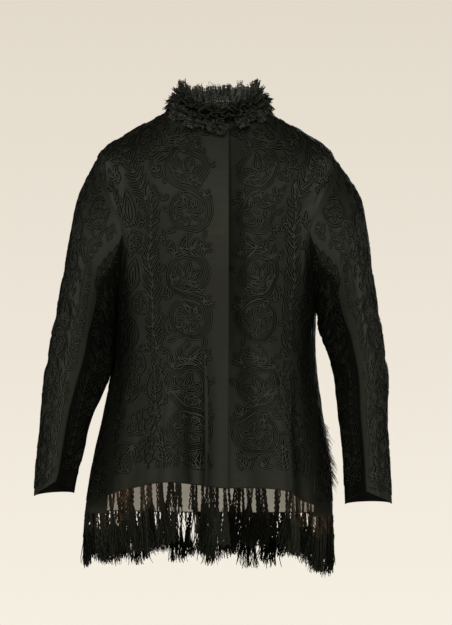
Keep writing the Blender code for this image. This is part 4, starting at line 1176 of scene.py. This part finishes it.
def silk_faille(cloth, name="black silk faille", gloss=None, tone=1.0):
    """Black silk faille: fine weft ribs, uneven dye and a soft sheen on the tops of the folds."""
    material, tree, shader = start_material(
        name, Specular_IOR_Level=cloth.gloss if gloss is None else gloss, Specular_Tint=SILK_TINT)
    flat = add_node(tree, "ShaderNodeAttribute", attribute_name="flat")
    vector = {"Vector": (flat, "Vector")}
    weft = add_node(
        tree, "ShaderNodeTexWave", {"Scale": band_scale(WEFT), "Distortion": 1.2, "Detail": 2.0}, vector,
        bands_direction="Y")
    warp = add_node(
        tree, "ShaderNodeTexWave", {"Scale": band_scale(WARP), "Distortion": 1.0, "Detail": 1.0}, vector,
        bands_direction="X")
    cloud = add_node(
        tree, "ShaderNodeTexNoise", {"Scale": 1 / CLOUD, "Detail": 5.0, "Roughness": 0.6}, vector)
    stretched = add_node(tree, "ShaderNodeMapping", {"Scale": (1 / SLUB[0], 1 / SLUB[1], 1)}, vector)
    slub = add_node(
        tree, "ShaderNodeTexNoise", {"Scale": 1.0, "Detail": 2.0}, {"Vector": (stretched, "Vector")})
    both = add_node(tree, "ShaderNodeMath", {}, {0: (weft, "Fac"), 1: (warp, "Fac")}, operation="ADD")
    weave = add_node(tree, "ShaderNodeMath", {1: 0.5}, {0: (both, 0)}, operation="MULTIPLY")
    uneven = add_node(tree, "ShaderNodeMix", {"Factor": 0.5}, {"A": (slub, "Fac"), "B": (cloud, "Fac")})
    shade = add_node(tree, "ShaderNodeMix", {"Factor": 0.7}, {"A": (weave, 0), "B": (uneven, 0)})
    colour = grey_between(tree, shade, 0, cloth.silk, 0.5 * tone, 1.5 * tone)
    rough = add_node(
        tree, "ShaderNodeMapRange", {"From Min": 0.3, "From Max": 0.7, "To Min": 0.60, "To Max": 0.48},
        {"Value": (slub, "Fac")})
    link(tree, shader, {"Roughness": (rough, "Result")})
    ridges = add_node(tree, "ShaderNodeMix", {"Factor": 0.45}, {"A": (weave, 0), "B": (slub, "Fac")})
    set_surface(tree, shader, colour, (ridges, 0), 0.5, 0.0004)
    return material


def cotton_lining(name, tint):
    """Cotton sateen, aged: a fine plain weave with a few faint stains."""
    material, tree, shader = start_material(name, Roughness=0.75, Specular_IOR_Level=0.25)
    flat = add_node(tree, "ShaderNodeAttribute", attribute_name="flat")
    vector = {"Vector": (flat, "Vector")}
    weave = add_node(
        tree, "ShaderNodeTexWave", {"Scale": band_scale(LINING_WEAVE), "Distortion": 1.0}, vector)
    stain = add_node(tree, "ShaderNodeTexNoise", {"Scale": 1 / STAIN, "Detail": 6.0}, vector)
    shade = add_node(tree, "ShaderNodeMix", {"Factor": 0.8}, {"A": (weave, "Fac"), "B": (stain, "Fac")})
    colour = grey_between(tree, shade, 0, tint, 0.72, 1.18)
    set_surface(tree, shader, colour, (weave, "Fac"), 0.3, 0.0002)
    return material


def soutache(name, cloth, gloss, tone):
    """Black silk soutache: a ribbed top whose colour is painted a little brighter than the ground, as
    highlight.
    """
    material, tree, shader = start_material(
        name, Roughness=0.42, Specular_IOR_Level=gloss, Specular_Tint=SOUTACHE_TINT)
    thread = add_node(tree, "ShaderNodeAttribute", attribute_name="flat")
    ribbed = add_node(
        tree, "ShaderNodeTexWave", {"Scale": band_scale(SOUTACHE_RIB), "Distortion": 0.6},
        {"Vector": (thread, "Vector")})
    colour = grey_between(tree, ribbed, "Fac", cloth.cord, 0.5 * tone, 1.5 * tone)
    set_surface(tree, shader, colour, (ribbed, "Fac"), 0.5, 0.0003)
    return material


def cord_materials(cloth, name="black silk soutache", gloss=SOUTACHE_GLOSS, tone=1.0):
    """Tops of the soutache, and its matt sides painted near black as shade."""
    sides = twisted_silk("soutache sides painted in shade", cloth.cord_side_shade, EDGE_PLY, 0.8, 0.04)
    return [soutache(name, cloth, gloss, tone), sides]


def twisted_silk(name, colour, pitch, roughness, gloss, worn=None):
    """Twisted silk: slanting plies that catch small glints, painted darker in their grooves as shade."""
    material, tree, shader = start_material(
        name, Roughness=roughness, Specular_IOR_Level=gloss, Specular_Tint=THREAD_TINT)
    thread = add_node(tree, "ShaderNodeAttribute", attribute_name="flat")
    slant = add_node(tree, "ShaderNodeMapping", {"Scale": (1, pitch, 1)}, {"Vector": (thread, "Vector")})
    plies = add_node(
        tree, "ShaderNodeTexWave", {"Scale": band_scale(pitch), "Distortion": 0.4},
        {"Vector": (slant, "Vector")}, bands_direction="DIAGONAL")
    # the plies' grooves are painted darker as shade; worn dye is mixed in below
    groove_shade_and_wear = grey_between(tree, plies, "Fac", colour, 0.55, 1.35)
    if worn:
        groove_shade_and_wear = add_node(
            tree, "ShaderNodeMix", {"B": (*worn, 1)}, {"Factor": (wear(tree), 0), "A": (groove_shade_and_wear, "Result")},
            data_type="RGBA")
    set_surface(tree, shader, groove_shade_and_wear, (plies, "Fac"), 0.6, 0.0004)
    return material


def wear(tree):
    """A node that says where dye has gone from hanging threads: in streaks, towards both sides."""
    place = add_node(tree, "ShaderNodeTexCoord")
    streaks = add_node(
        tree, "ShaderNodeMapping", {"Scale": tuple(1 / size for size in WORN_STREAK)},
        {"Vector": (place, "Object")})
    patches = add_node(
        tree, "ShaderNodeTexNoise", {"Scale": 1.0, "Detail": 4.0, "Roughness": 0.7},
        {"Vector": (streaks, "Vector")})
    bare = add_node(
        tree, "ShaderNodeMapRange", {"From Min": 0.48, "From Max": 0.64}, {"Value": (patches, "Fac")})
    split = add_node(tree, "ShaderNodeSeparateXYZ", {}, {"Vector": (place, "Object")})
    far = add_node(tree, "ShaderNodeMath", {}, {0: (split, "X")}, operation="ABSOLUTE")
    off = add_node(tree, "ShaderNodeMath", {1: WORN_X}, {0: (far, 0)}, operation="SUBTRACT")
    off = add_node(tree, "ShaderNodeMath", {}, {0: (off, 0)}, operation="ABSOLUTE")
    sides = add_node(
        tree, "ShaderNodeMapRange", {"From Min": WORN_FAR, "From Max": WORN_NEAR}, {"Value": (off, 0)})
    return add_node(
        tree, "ShaderNodeMath", {}, {0: (bare, "Result"), 1: (sides, "Result")}, operation="MULTIPLY")


def bobbin_lace(trim):
    """Black silk lace: dotted threads with some shine, cloudy in tone."""
    material, tree, shader = start_material(
        "black silk lace", Roughness=0.42, Specular_IOR_Level=0.8, Specular_Tint=LACE_TINT)
    place = add_node(tree, "ShaderNodeTexCoord")
    vector = {"Vector": (place, "Object")}
    dots = add_node(tree, "ShaderNodeTexVoronoi", {"Scale": 1 / LACE_DOT}, vector)
    cloud = add_node(tree, "ShaderNodeTexNoise", {"Scale": 1 / LACE_CLOUD, "Detail": 4.0}, vector)
    shade = add_node(tree, "ShaderNodeMix", {"Factor": 0.5}, {"A": (dots, "Distance"), "B": (cloud, "Fac")})
    colour = grey_between(tree, shade, 0, trim.lace, 0.3, 2.0)
    set_surface(tree, shader, colour, (dots, "Distance"), 0.9, 0.0008)
    return material


# Lace frills

def neck_places(first_x, last_x, count):
    """Sides and turns round the neck, from first_x on the left front by the back to last_x on the right."""
    first = math.asin(first_x / half_width(LEFT, 0))
    last = math.tau + math.asin(last_x / half_width(RIGHT, 0))
    angle = np.linspace(first, last, count) % math.tau
    left = angle <= math.pi
    return np.where(left, LEFT, RIGHT), np.where(left, angle, math.tau - angle)


def gather_phase(rng, waves, count):
    """Phase of uneven gathers along a frill."""
    shifts = smooth(rng.uniform(*GATHER_SHIFTS, waves // 2), count)
    return math.tau * (waves * np.linspace(0, 1, count) + shifts)


def gathers(rng, waves, count):
    """Uneven gathers: a wave whose length and height change along the frill."""
    height = smooth(rng.uniform(*GATHER_HEIGHTS, waves), count)
    return height * np.sin(gather_phase(rng, waves, count))


def lace_part(grid):
    """A frill's surface, with holes in its last rows as net."""
    rows, columns = grid.shape[:2]
    points = grid.reshape(-1, 3)
    whole = (rows - 1 - min(NET_ROWS, rows // 2)) * (columns - 1)
    solid, net = np.split(grid_quads(rows, columns), [whole])
    corners = points[net]
    holes = corners.mean(axis=1, keepdims=True) * (1 - NET_OPEN) + corners * NET_OPEN
    number = (len(points) + np.arange(net.size)).reshape(-1, 4)
    ahead, hole_ahead = np.roll(net, -1, axis=1), np.roll(number, -1, axis=1)
    frames = np.stack([net, ahead, hole_ahead, number], axis=-1).reshape(-1, 4)
    points = np.vstack([points, holes.reshape(-1, 3)])
    return points, solid.tolist() + frames.tolist(), np.zeros_like(points)


def picots(grid, rng):
    """Small uneven loops of thread along a frill's free edge."""
    edge = grid[-1]
    picked = np.arange(1, len(edge) - 1, PICOT_EVERY)
    count = len(picked)
    way = unit(unit(edge - grid[-2])[picked] + rng.normal(0, PICOT_LEAN, (count, 3)))[:, None]
    along = unit(edge[picked + 1] - edge[picked - 1])[:, None]
    size = PICOT * rng.uniform(*PICOT_SIZES, (count, 1, 1))
    size = size * rng.choice((1, 2), (count, 1, 1), p=(1 - LONG_PICOTS, LONG_PICOTS))
    angle = np.linspace(0, math.tau, PICOT_POINTS)[None, :, None]
    loops = edge[picked][:, None] + size * (way * (1 - np.cos(angle)) + along * np.sin(angle))
    return tubes(loops, np.cross(along, way), PICOT_THREAD, 3)


def lace_piece(name, parts, loops, trim, material, node):
    """A frill's lace surfaces, made solid, and the loops of its edges as a second piece."""
    points, faces, flat = joined(parts)
    sheet = add_piece(name, points, faces, [material], [node], flat)
    solid = sheet.modifiers.new("lace wall", "SOLIDIFY")
    solid.thickness, solid.offset = trim.lace_wall, 0
    points, faces, flat = joined(loops)
    edging = add_piece(f"{name}_picots", points, faces, [material], [], flat)
    return sheet, edging


def ruche_layer(rng, ruffle, lengths, first_x, last_x):
    """One layer of a frill round the neck edge, that leans out and curls in uneven loops."""
    count = ruffle.waves * WAVE_POINTS
    side, turn = neck_places(first_x, last_x, count)
    top, low = np.zeros(count), np.full(count, NECK_STEP)
    edge, down = body_points(side, top, turn), body_points(side, low, turn)
    inset = CLOTH * (1 - ruffle.foot_deg / LEVEL_FOOT_DEG)
    base = edge - body_normals(side, top, turn) * inset + unit(down - edge) * LACE_TUCK
    out = np.stack([side * np.sin(turn), -np.cos(turn), top], axis=-1)
    around = np.cross(UP, out)
    ragged = RAGGED_LENGTH * gathers(rng, ruffle.waves // 2, count) + rng.normal(0, RAGGED_ENDS, count)
    long = ruffle.share * smooth(lengths, count) * (1 + ragged)
    phase = gather_phase(rng, ruffle.waves, count)
    height = 1 + RAGGED_HEIGHT * gathers(rng, ruffle.waves // 3, count)
    curl = gathers(rng, 3 * ruffle.waves, count)
    steps = np.linspace(0, 1, LACE_ROWS)
    lean = np.radians(ruffle.foot_deg + (ruffle.edge_deg - ruffle.foot_deg) * steps)
    ways = np.stack([np.sin(lean), np.cos(lean)])
    outward, upward = np.cumsum((ways[:, 1:] + ways[:, :-1]) / 2, axis=1) / (LACE_ROWS - 1)
    grid = []
    for t, angle, far, high in zip(steps, lean, (0, *outward), (0, *upward)):
        swing = ruffle.wave * t**0.7 * (height * np.sin(phase) + CURL_OUT * curl * t)
        aside = ruffle.wave * LOOP_ASIDE * t * (height * np.sin(2 * phase) + CURL_ASIDE * curl)
        up, forth = long * high - swing * math.sin(angle), long * far + swing * math.cos(angle)
        grid.append(base + np.outer(up, UP) + out * forth[:, None] + around * aside[:, None])
    return np.array(grid)


def rosette_layer(rng, ring):
    """One pleated ring of the rosette, which lies on the right front."""
    angle = np.linspace(0, math.tau, ring.waves * WAVE_POINTS + 1)
    swing = 0.5 + 0.5 * np.sin(ring.waves * angle + 0.6 * np.sin(2 * angle))
    ragged = 1 + sum(size * np.sin(waves * angle + rng.uniform(0, 6)) for size, waves in RAGGED_RING)
    middle = np.array((0.0, float(front_y(ROSETTE_Z)), ROSETTE_Z))
    slope, right = unit(np.array((0.0, -1.0, ROSETTE_RISE))), np.array((1.0, 0.0, 0.0))
    flat = np.outer(np.cos(angle), right) + np.outer(np.sin(angle), np.cross(slope, right))
    grid = []
    for t in np.linspace(ROSETTE_START, 1, LACE_ROWS // 2):
        off = ring.lift + 2 * ring.wave * swing * (0.3 + 0.7 * t)
        grid.append(middle + flat * (ring.radius * t * ragged)[:, None] + np.outer(off, slope))
    return np.array(grid)


def front_y(z):
    """Depth of the right front at the middle, at a height."""
    rows = np.linspace(0, SHOULDER, 200)
    points = body_points(RIGHT, rows, 0.0)
    return np.interp(-z, -points[:, 2], points[:, 1])


# Fringe

def hem_line(name, first_share=0.0):
    own = panel(name)
    line = own.grid[-1] - own.normals[-1] * CLOTH / 2 - UP * 2 * SEAM
    return line[int(first_share * (len(line) - 1)):]


def hanging(roots, along, out, lengths, aside, forward):
    """Lines that hang from roots, moved aside and forward at each of their points."""
    drop = lengths[:, None] * np.linspace(0, 1, aside.shape[1])
    moved = along[:, None] * aside[..., None] + out[:, None] * forward[..., None]
    return roots[:, None] - drop[..., None] * UP + moved


def stray(rng, size, shape):
    """Random offsets about zero, none beyond twice their size."""
    return np.array(size) * np.clip(rng.normal(0, 1, shape), -2, 2)


Tassels = namedtuple("Tassels", "roots along out pull lengths sparse")


def hang_tassels(tops, length, rng, gaps):
    """Tassels between the points of a line, leaning together in clumps, with gaps where some are lost."""
    roots, along = (tops[1:] + tops[:-1]) / 2, unit(np.diff(tops, axis=0))
    roots = roots + along * stray(rng, ROOT_STRAY, (len(roots), 1))
    at = run_lengths(roots)
    sparse, lost = np.zeros(len(roots), bool), np.zeros(len(roots), bool)
    for gap in gaps:
        inside = np.abs(roots[:, 0] - gap.x) < gap.half_width
        sparse |= inside
        lost |= inside & (not gap.cords)
    clumps = np.cumsum(rng.uniform(*CLUMP_SPACING, int(2 * at[-1] / CLUMP) + 2)) * CLUMP - CLUMP
    clump = np.abs(at[:, None] - clumps).argmin(axis=1)
    pull = rng.uniform(*CLUMP_PULL, len(clumps))[clump] * (clumps[clump] - at)
    pull = pull - HANG_IN * roots[:, 0] * np.sign(along[:, 0])
    lengths = length * rng.uniform(*CLUMP_LENGTHS, len(clumps))[clump] * rng.uniform(*TASSEL_LENGTHS, len(at))
    values = (roots, along, unit(np.cross(along, UP)), pull, lengths, sparse)
    return Tassels(*(each[~lost] for each in values))


def crinkled_cords(tassels, length, rng):
    """Crinkled yarns of each tassel's cord: their lines, the cords' lengths, and tubes along the lines."""
    count = len(tassels.roots)
    yarn = np.repeat(np.arange(count), PLIES)
    step = np.linspace(0, 1, CRINKLE_POINTS)
    cord_long = length * CORD_SHARE * rng.uniform(*CORD_LENGTHS, count)
    long = cord_long[yarn]
    drift = (CORD_PULL * tassels.pull[:, None] * (1, 0) + stray(rng, CORD_DRIFT, (count, 2)))[yarn]
    drift = drift + stray(rng, YARN_DRIFT, drift.shape)
    phase = rng.uniform(0, math.tau, (len(yarn), 2, 1))
    wave = math.tau * step * long[:, None] / rng.uniform(*CRINKLE_LENGTHS, (len(yarn), 1))
    size = rng.uniform(*CRINKLE_SIZES, (len(yarn), 1)) * ease(0.3 + step * 3)
    bulk = rng.uniform(*CORD_BULKS, (count, 1))[yarn]
    apart = bulk * stray(rng, YARN_STRAY, (len(yarn), 1))
    aside = apart + drift[:, :1] * step**1.3 + size * np.sin(wave + phase[:, 0])
    forward = drift[:, 1:] * step**1.3 + 0.8 * size * np.cos(0.9 * wave + phase[:, 1])
    out = tassels.out[yarn]
    lines = hanging(tassels.roots[yarn], tassels.along[yarn], out, long, aside, forward)
    radius = bulk * rng.uniform(*YARN_RADII, (len(yarn), 1)) * (1 + CRINKLE_SWELL * np.sin(2 * wave))
    return lines, cord_long, tubes(lines, out[:, None], radius, 4)


def loose_floss(tassels, yarns, cord_long, strands, rng):
    """Strands that leave the yarns of each cord and hang loose, as tubes."""
    count = len(tassels.roots)
    few = rng.integers(*FEW_STRANDS, count)
    many = rng.integers(strands - STRANDS_VARY, strands + STRANDS_VARY + 1, count)
    own = np.repeat(np.arange(count), np.where(tassels.sparse, few, many))
    number = len(own)
    step = np.linspace(0, 1, FLOSS_POINTS)
    above = rng.uniform(*FLOSS_STARTS, number)
    start = yarns[own * PLIES + rng.integers(0, PLIES, number), (above * (CRINKLE_POINTS - 1)).astype(int)]
    rest = tassels.lengths[own] - cord_long[own] * above
    rest = rest * np.clip(rng.normal(FLOSS_MEAN, FLOSS_VARIES, number), *FLOSS_LIMITS)
    loose = np.where(rng.uniform(0, 1, (number, 1)) < LOOSE_SHARE, LOOSE_STRAY, 1.0)
    spread = stray(rng, loose * FLOSS_STRAY, (number, 2))
    bend = stray(rng, FLOSS_BEND, (number, 2))
    spread[:, 0] += tassels.pull[own]
    curl = np.sin(math.tau * FLOSS_CURLS * step + rng.uniform(0, math.tau, (number, 2, 1))) * step
    aside = spread[:, :1] * step**0.8 + bend[:, :1] * curl[:, 0]
    forward = spread[:, 1:] * step**0.6 + bend[:, 1:] * curl[:, 1]
    out = tassels.out[own]
    lines = hanging(start, tassels.along[own], out, rest, aside, forward)
    radius = rng.uniform(*FLOSS_RADII, (number, 1)) * (1 - FLOSS_TAPER * step**3)
    return tubes(lines, out[:, None], radius, 3)


def fringe_parts(line, length, strands, rng, gaps):
    """A heading with crinkled cords below a line, and their loose floss."""
    tops = even(line, TASSEL_STEP)
    heading = tubes(tops[None], UP, HEADING, 5)
    tassels = hang_tassels(tops, length, rng, gaps)
    yarns, cord_long, cords = crinkled_cords(tassels, length, rng)
    return [heading, cords], [loose_floss(tassels, yarns, cord_long, strands, rng)]


def fringe_piece(node, parts, materials):
    """A fringe with its cords in one material and its floss in the other."""
    cords, threads = parts
    points, faces, flat = joined(cords + threads)
    indices = np.ones(len(faces), int)
    indices[:sum(len(part[1]) for part in cords)] = 0
    return add_piece(f"{node}_strands", points, faces, materials, [node], flat, indices)


def side_line(share):
    """A line down the back, a share of the way across it, and the mean way out from it."""
    own = panel("back")
    column = round(share * (own.grid.shape[1] - 1))
    skirt = np.flatnonzero(ROWS >= UNDERARM)
    first, last = (skirt[int(row * (len(skirt) - 1))] for row in SIDE_FRINGE_ROWS)
    normals = own.normals[first:last, column]
    return own.grid[first:last, column] + normals * SIDE_OFF, normals.mean(axis=0)


def side_parts(share, strands, rng):
    """Short cords and tufts that stand out from the back beside its hem."""
    line, normal = side_line(share)
    tops = even(line, SIDE_TASSEL_STEP)
    across = unit(np.cross(normal, UP))
    heading = tubes(tops[None], normal, SIDE_HEADING, 5)
    step = np.linspace(0, 1, SIDE_POINTS)[:, None]
    each = np.repeat(np.arange(len(tops)), strands // 2)
    long = rng.uniform(*SIDE_LENGTHS, (len(each), 1, 1))
    spread = rng.normal(0, SIDE_STRAY, (len(each), 2))[:, :1, None]
    ways = unit(normal - UP * SIDE_SLOPE) + rng.normal(0, SIDE_WAYS, (len(each), 3))
    lines = tops[each][:, None] + ways[:, None] * long * step
    lines = lines + across * spread * step**1.5 - UP * SIDE_SAG * step**2
    return [heading], [tubes(lines, across, SIDE_RADIUS * (1 - SIDE_TAPER * step[:, 0]), 3)]


# Operators

SIDES = ("right", "left")


def lay_sheet(name):
    flat, area = panel(name).cut()


class MANTLE_OT_fronts(bpy.types.Operator):
    """Cuts the two lapped fronts and couches their cords"""
    bl_idname = "mantle.fronts"
    bl_label = "Fronts"

    def execute(self, context):
        cloth = context.scene.mantle_cloth
        silk = [silk_faille(cloth), cotton_lining("cream cotton sateen", cloth.lining)]
        cord = cord_materials(cloth)
        for side in SIDES:
            name = f"front_{side}"
            piece = shell(name, cloth, silk)
            nodes = [f"scroll_front_{side}_{k}" for k in (1, 2, 3)]
            shift = LEFT_SHIFT if side == "left" else 0.0
            cords = couch(name, FRONT_SCROLLS, BODY_MOTIFS, ZONES[name], cloth, cord, nodes, shift)
            lay_sheet(name)
        return {"FINISHED"}


class MANTLE_OT_back(bpy.types.Operator):
    """Cuts the back and couches its cords, mirrored about its middle"""
    bl_idname = "mantle.back"
    bl_label = "Back"

    def execute(self, context):
        cloth = context.scene.mantle_cloth
        silk = [silk_faille(cloth), cotton_lining("cream cotton sateen", cloth.lining)]
        piece = shell("back", cloth, silk)
        cord = cord_materials(cloth)
        nodes = [f"scroll_back_{side}_{k}" for side in SIDES for k in (1, 2, 3)]
        cords = couch("back", BACK_SCROLLS, BACK_MOTIFS, ZONES["back"], cloth, cord, nodes, flips=(1, -1))
        lay_sheet("back")
        return {"FINISHED"}


class MANTLE_OT_sleeves(bpy.types.Operator):
    """Cuts both halves of the two sleeves and couches their cords"""
    bl_idname = "mantle.sleeves"
    bl_label = "Sleeves"

    def execute(self, context):
        cloth = context.scene.mantle_cloth
        silk, lining = silk_faille(cloth), cotton_lining("black cotton sateen", cloth.sleeve_lining)
        # The under sleeve's silk and cords are painted in shade, darker and less glossy; its strip keeps the
        # lit silk
        shaded_silk = silk_faille(cloth, "black silk faille painted in shade", cloth.shaded_under_gloss, SHADED_UNDER_TONE)
        cord = cord_materials(cloth)
        shaded_cord = cord_materials(cloth, "black silk soutache painted in shade", SHADED_CORD_GLOSS, SHADED_CORD_TONE)
        for side in SIDES:
            outer, under = f"sleeve_outer_{side}", f"sleeve_under_{side}"
            nodes = [f"scroll_sleeve_{side}_{k}" for k in (1, 2, 3)]
            piece = shell(outer, cloth, [silk, lining])
            cords = couch(outer, SLEEVE_SCROLLS, OUTER_MOTIFS, ZONES["outer"], cloth, cord, nodes)
            lay_sheet(outer)
            piece = shell(under, cloth, [shaded_silk, lining, silk], STRIP_COLUMNS)
            cords = couch(under, (), UNDER_MOTIFS, ZONES["under"], cloth, shaded_cord, [])
            lay_sheet(under)
        return {"FINISHED"}


class MANTLE_OT_frills(bpy.types.Operator):
    """Gathers the standing and the falling lace frill and ties the rosette"""
    bl_idname = "mantle.frills"
    bl_label = "Lace frills"

    def execute(self, context):
        trim = context.scene.mantle_trim
        lace = bobbin_lace(trim)
        rng = np.random.default_rng(SEED)
        frills = {
            "frill_standing": [ruche_layer(rng, ruffle, STAND_RISE, *STAND_ENDS) for ruffle in STANDING],
            "frill_falling": [ruche_layer(rng, ruffle, FALL_DROP, *FALL_ENDS) for ruffle in FALLING],
            "rosette": [rosette_layer(rng, ring) for ring in ROSETTE],
        }
        for node, layers in frills.items():
            parts = [lace_part(grid) for grid in layers]
            loops = [picots(grid, rng) for grid in layers]
            sheet, edging = lace_piece(f"{node}_lace", parts, loops, trim, lace, node)
        return {"FINISHED"}


class MANTLE_OT_fringe(bpy.types.Operator):
    """Hangs crinkled cords and loose floss round the hem and beside it"""
    bl_idname = "mantle.fringe"
    bl_label = "Fringe"

    def execute(self, context):
        trim = context.scene.mantle_trim
        materials = [
            twisted_silk("crinkled silk cord", trim.fringe_cord, CORD_PLY, 0.6, 0.2, trim.worn_cord),
            twisted_silk("loose silk floss", trim.floss, FLOSS_PLY, 0.5, 0.32),
        ]
        rng = np.random.default_rng(SEED + 1)
        for fringe in FRINGES:
            gaps = FRONT_GAPS if fringe.panel != "back" else ()
            line = hem_line(fringe.panel, fringe.first_share)
            strands = round(trim.strands * fringe.fullness)
            fringe_piece(fringe.node, fringe_parts(line, fringe.length, strands, rng, gaps), materials)
        for node, share in SIDE_FRINGE.items():
            fringe_piece(node, side_parts(share, trim.strands, rng), materials)
        return {"FINISHED"}


class MANTLE_OT_stage(bpy.types.Operator):
    """Sets the pale floor, the soft light and the camera"""
    bl_idname = "mantle.stage"
    bl_label = "Stage"

    def execute(self, context):
        scene, stage = context.scene, context.scene.mantle_stage
        scene.view_settings.view_transform = "Standard"
        set_world(scene, stage)
        lay_floor(stage.floor)
        for lamp in LAMPS:
            add_light(lamp, stage.light)
        set_camera(scene, stage.distance)
        return {"FINISHED"}


PIXEL = 0.00185  # metres of the garment's middle plane to a pixel of the picture
FRAME_WIDTH, FRAME_HEIGHT = 452, 625
VIEW_MIDDLE = (0.0167, -0.389)  # x and z that the camera looks at
SENSOR = 36
FLOOR_Z, FLOOR_RADIUS, FLOOR_SIDES = -1.30, 3.2, 64
LIGHT_MIDDLE = (0.0, -0.40)  # x and z that the lamps aim at
BACKDROP_BAND = 0.12  # the backdrop changes colour within this rise of the view, up and down
AMBIENT = 0.055  # strength of the light from all round, as a share of the backdrop's
Lamp = namedtuple("Lamp", "name x y z width height share aim_y")  # share of the front light's power
LAMPS = (
    Lamp("front light", 0.1, -4.2, 1.5, 5.4, 1.8, 1.0, 0.0),
    Lamp("top light", -0.2, -2.2, 3.2, 2.4, 1.6, 0.25, 0.0),
    Lamp("left side light", -4.0, -0.4, 0.6, 1.8, 1.8, 0.45, 0.0),
    Lamp("right side light", 4.0, -0.2, 0.6, 1.8, 1.8, 0.45, 0.0),
    Lamp("back light", 0.6, 4.2, 0.2, 2.4, 2.4, 0.5, 0.0),
    Lamp("floor bounce", 0.0, -1.1, -1.28, 1.6, 0.9, 0.11, -1.1),
)


def set_camera(scene, distance):
    data = bpy.data.cameras.new("camera")
    data.sensor_width = SENSOR
    data.lens = SENSOR * distance / (max(FRAME_WIDTH, FRAME_HEIGHT) * PIXEL)
    camera = bpy.data.objects.new("camera", data)
    camera.location = (VIEW_MIDDLE[0], -distance, VIEW_MIDDLE[1])
    camera.rotation_euler = (math.pi / 2, 0, 0)
    scene.collection.objects.link(camera)
    scene.camera = camera


def set_world(scene, stage):
    """A cream backdrop that is a little lighter below, and a weaker even light from all round."""
    world = bpy.data.worlds.new("studio")
    world.use_nodes = True
    scene.world = world
    tree = world.node_tree
    background = tree.nodes["Background"]
    place = add_node(tree, "ShaderNodeTexCoord")
    split = add_node(tree, "ShaderNodeSeparateXYZ", {}, {"Vector": (place, "Generated")})
    band = {"From Min": -BACKDROP_BAND, "From Max": BACKDROP_BAND}
    rise = add_node(tree, "ShaderNodeMapRange", band, {"Value": (split, "Z")})
    ends = {"A": (*stage.backdrop_low, 1), "B": (*stage.backdrop_high, 1)}
    colour = add_node(tree, "ShaderNodeMix", ends, {"Factor": (rise, "Result")}, data_type="RGBA")
    path = add_node(tree, "ShaderNodeLightPath")
    strength = add_node(
        tree, "ShaderNodeMapRange", {"To Min": AMBIENT, "To Max": 1.0}, {"Value": (path, "Is Camera Ray")})
    link(tree, background, {"Color": (colour, "Result"), "Strength": (strength, "Result")})


def lay_floor(colour):
    """A pale round floor well below the hem, that fades out at its rim."""
    angle = math.tau * np.arange(FLOOR_SIDES) / FLOOR_SIDES
    points = FLOOR_RADIUS * np.column_stack([np.cos(angle), np.sin(angle), 0 * angle]) + UP * FLOOR_Z
    mesh = bpy.data.meshes.new("floor")
    mesh.from_pydata(points.tolist(), [], [range(FLOOR_SIDES)])
    mesh.materials.append(painted_floor(colour))
    floor = bpy.data.objects.new("floor", mesh)
    bpy.context.scene.collection.objects.link(floor)


def painted_floor(paint):
    """Matt cream paint with a faint mottle, see-through towards its rim."""
    material, tree, shader = start_material("matt cream paint", Roughness=0.8)
    place = add_node(tree, "ShaderNodeTexCoord")
    vector = {"Vector": (place, "Object")}
    mottle = add_node(tree, "ShaderNodeTexNoise", {"Scale": 1 / MOTTLE, "Detail": 4.0}, vector)
    colour = grey_between(tree, mottle, "Fac", paint, 0.96, 1.02)
    distance = add_node(tree, "ShaderNodeVectorMath", {}, {0: (place, "Object")}, operation="LENGTH")
    rim = {"From Min": 0.5 * FLOOR_RADIUS, "From Max": FLOOR_RADIUS, "To Min": 1.0, "To Max": 0.0}
    fade = add_node(tree, "ShaderNodeMapRange", rim, {"Value": (distance, "Value")})
    link(tree, shader, {"Base Color": (colour, "Result"), "Alpha": (fade, "Result")})
    return material


def add_light(lamp, power):
    data = bpy.data.lights.new(lamp.name, "AREA")
    data.shape, data.size, data.size_y = "RECTANGLE", lamp.width, lamp.height
    data.energy = power * lamp.share
    light = bpy.data.objects.new(lamp.name, data)
    light.location = (lamp.x, lamp.y, lamp.z)
    aim = Vector((LIGHT_MIDDLE[0], lamp.aim_y, LIGHT_MIDDLE[1]))
    light.rotation_euler = (aim - light.location).to_track_quat("-Z", "Y").to_euler()
    bpy.context.scene.collection.objects.link(light)


class MANTLE_PT_sidebar(bpy.types.Panel):
    """The mantle's pieces, sizes and colours"""
    bl_idname = "MANTLE_PT_sidebar"
    bl_label = "Dolman mantle"
    bl_space_type = "VIEW_3D"
    bl_region_type = "UI"
    bl_category = "Mantle"

    def draw(self, context):
        for operator in OPERATORS:
            self.layout.operator(operator.bl_idname)
        for group in (context.scene.mantle_cloth, context.scene.mantle_trim, context.scene.mantle_stage):
            box = self.layout.box()
            for name in group.bl_rna.properties.keys():
                if name not in ("rna_type", "name"):
                    box.prop(group, name)


GROUPS = {"mantle_cloth": MantleCloth, "mantle_trim": MantleTrim, "mantle_stage": MantleStage}
OPERATORS = (
    MANTLE_OT_fronts, MANTLE_OT_back, MANTLE_OT_sleeves, MANTLE_OT_frills, MANTLE_OT_fringe, MANTLE_OT_stage,
)
CLASSES = (*GROUPS.values(), *OPERATORS, MANTLE_PT_sidebar)


def register():
    for cls in CLASSES:
        bpy.utils.register_class(cls)
    for name, group in GROUPS.items():
        setattr(bpy.types.Scene, name, PointerProperty(type=group))


def unregister():
    for name in GROUPS:
        delattr(bpy.types.Scene, name)
    for cls in reversed(CLASSES):
        bpy.utils.unregister_class(cls)


def main():
    register()
    bpy.ops.mantle.fronts()
    bpy.ops.mantle.back()
    bpy.ops.mantle.sleeves()
    bpy.ops.mantle.frills()
    bpy.ops.mantle.fringe()
    bpy.ops.mantle.stage()


if __name__ == "__main__":
    main()
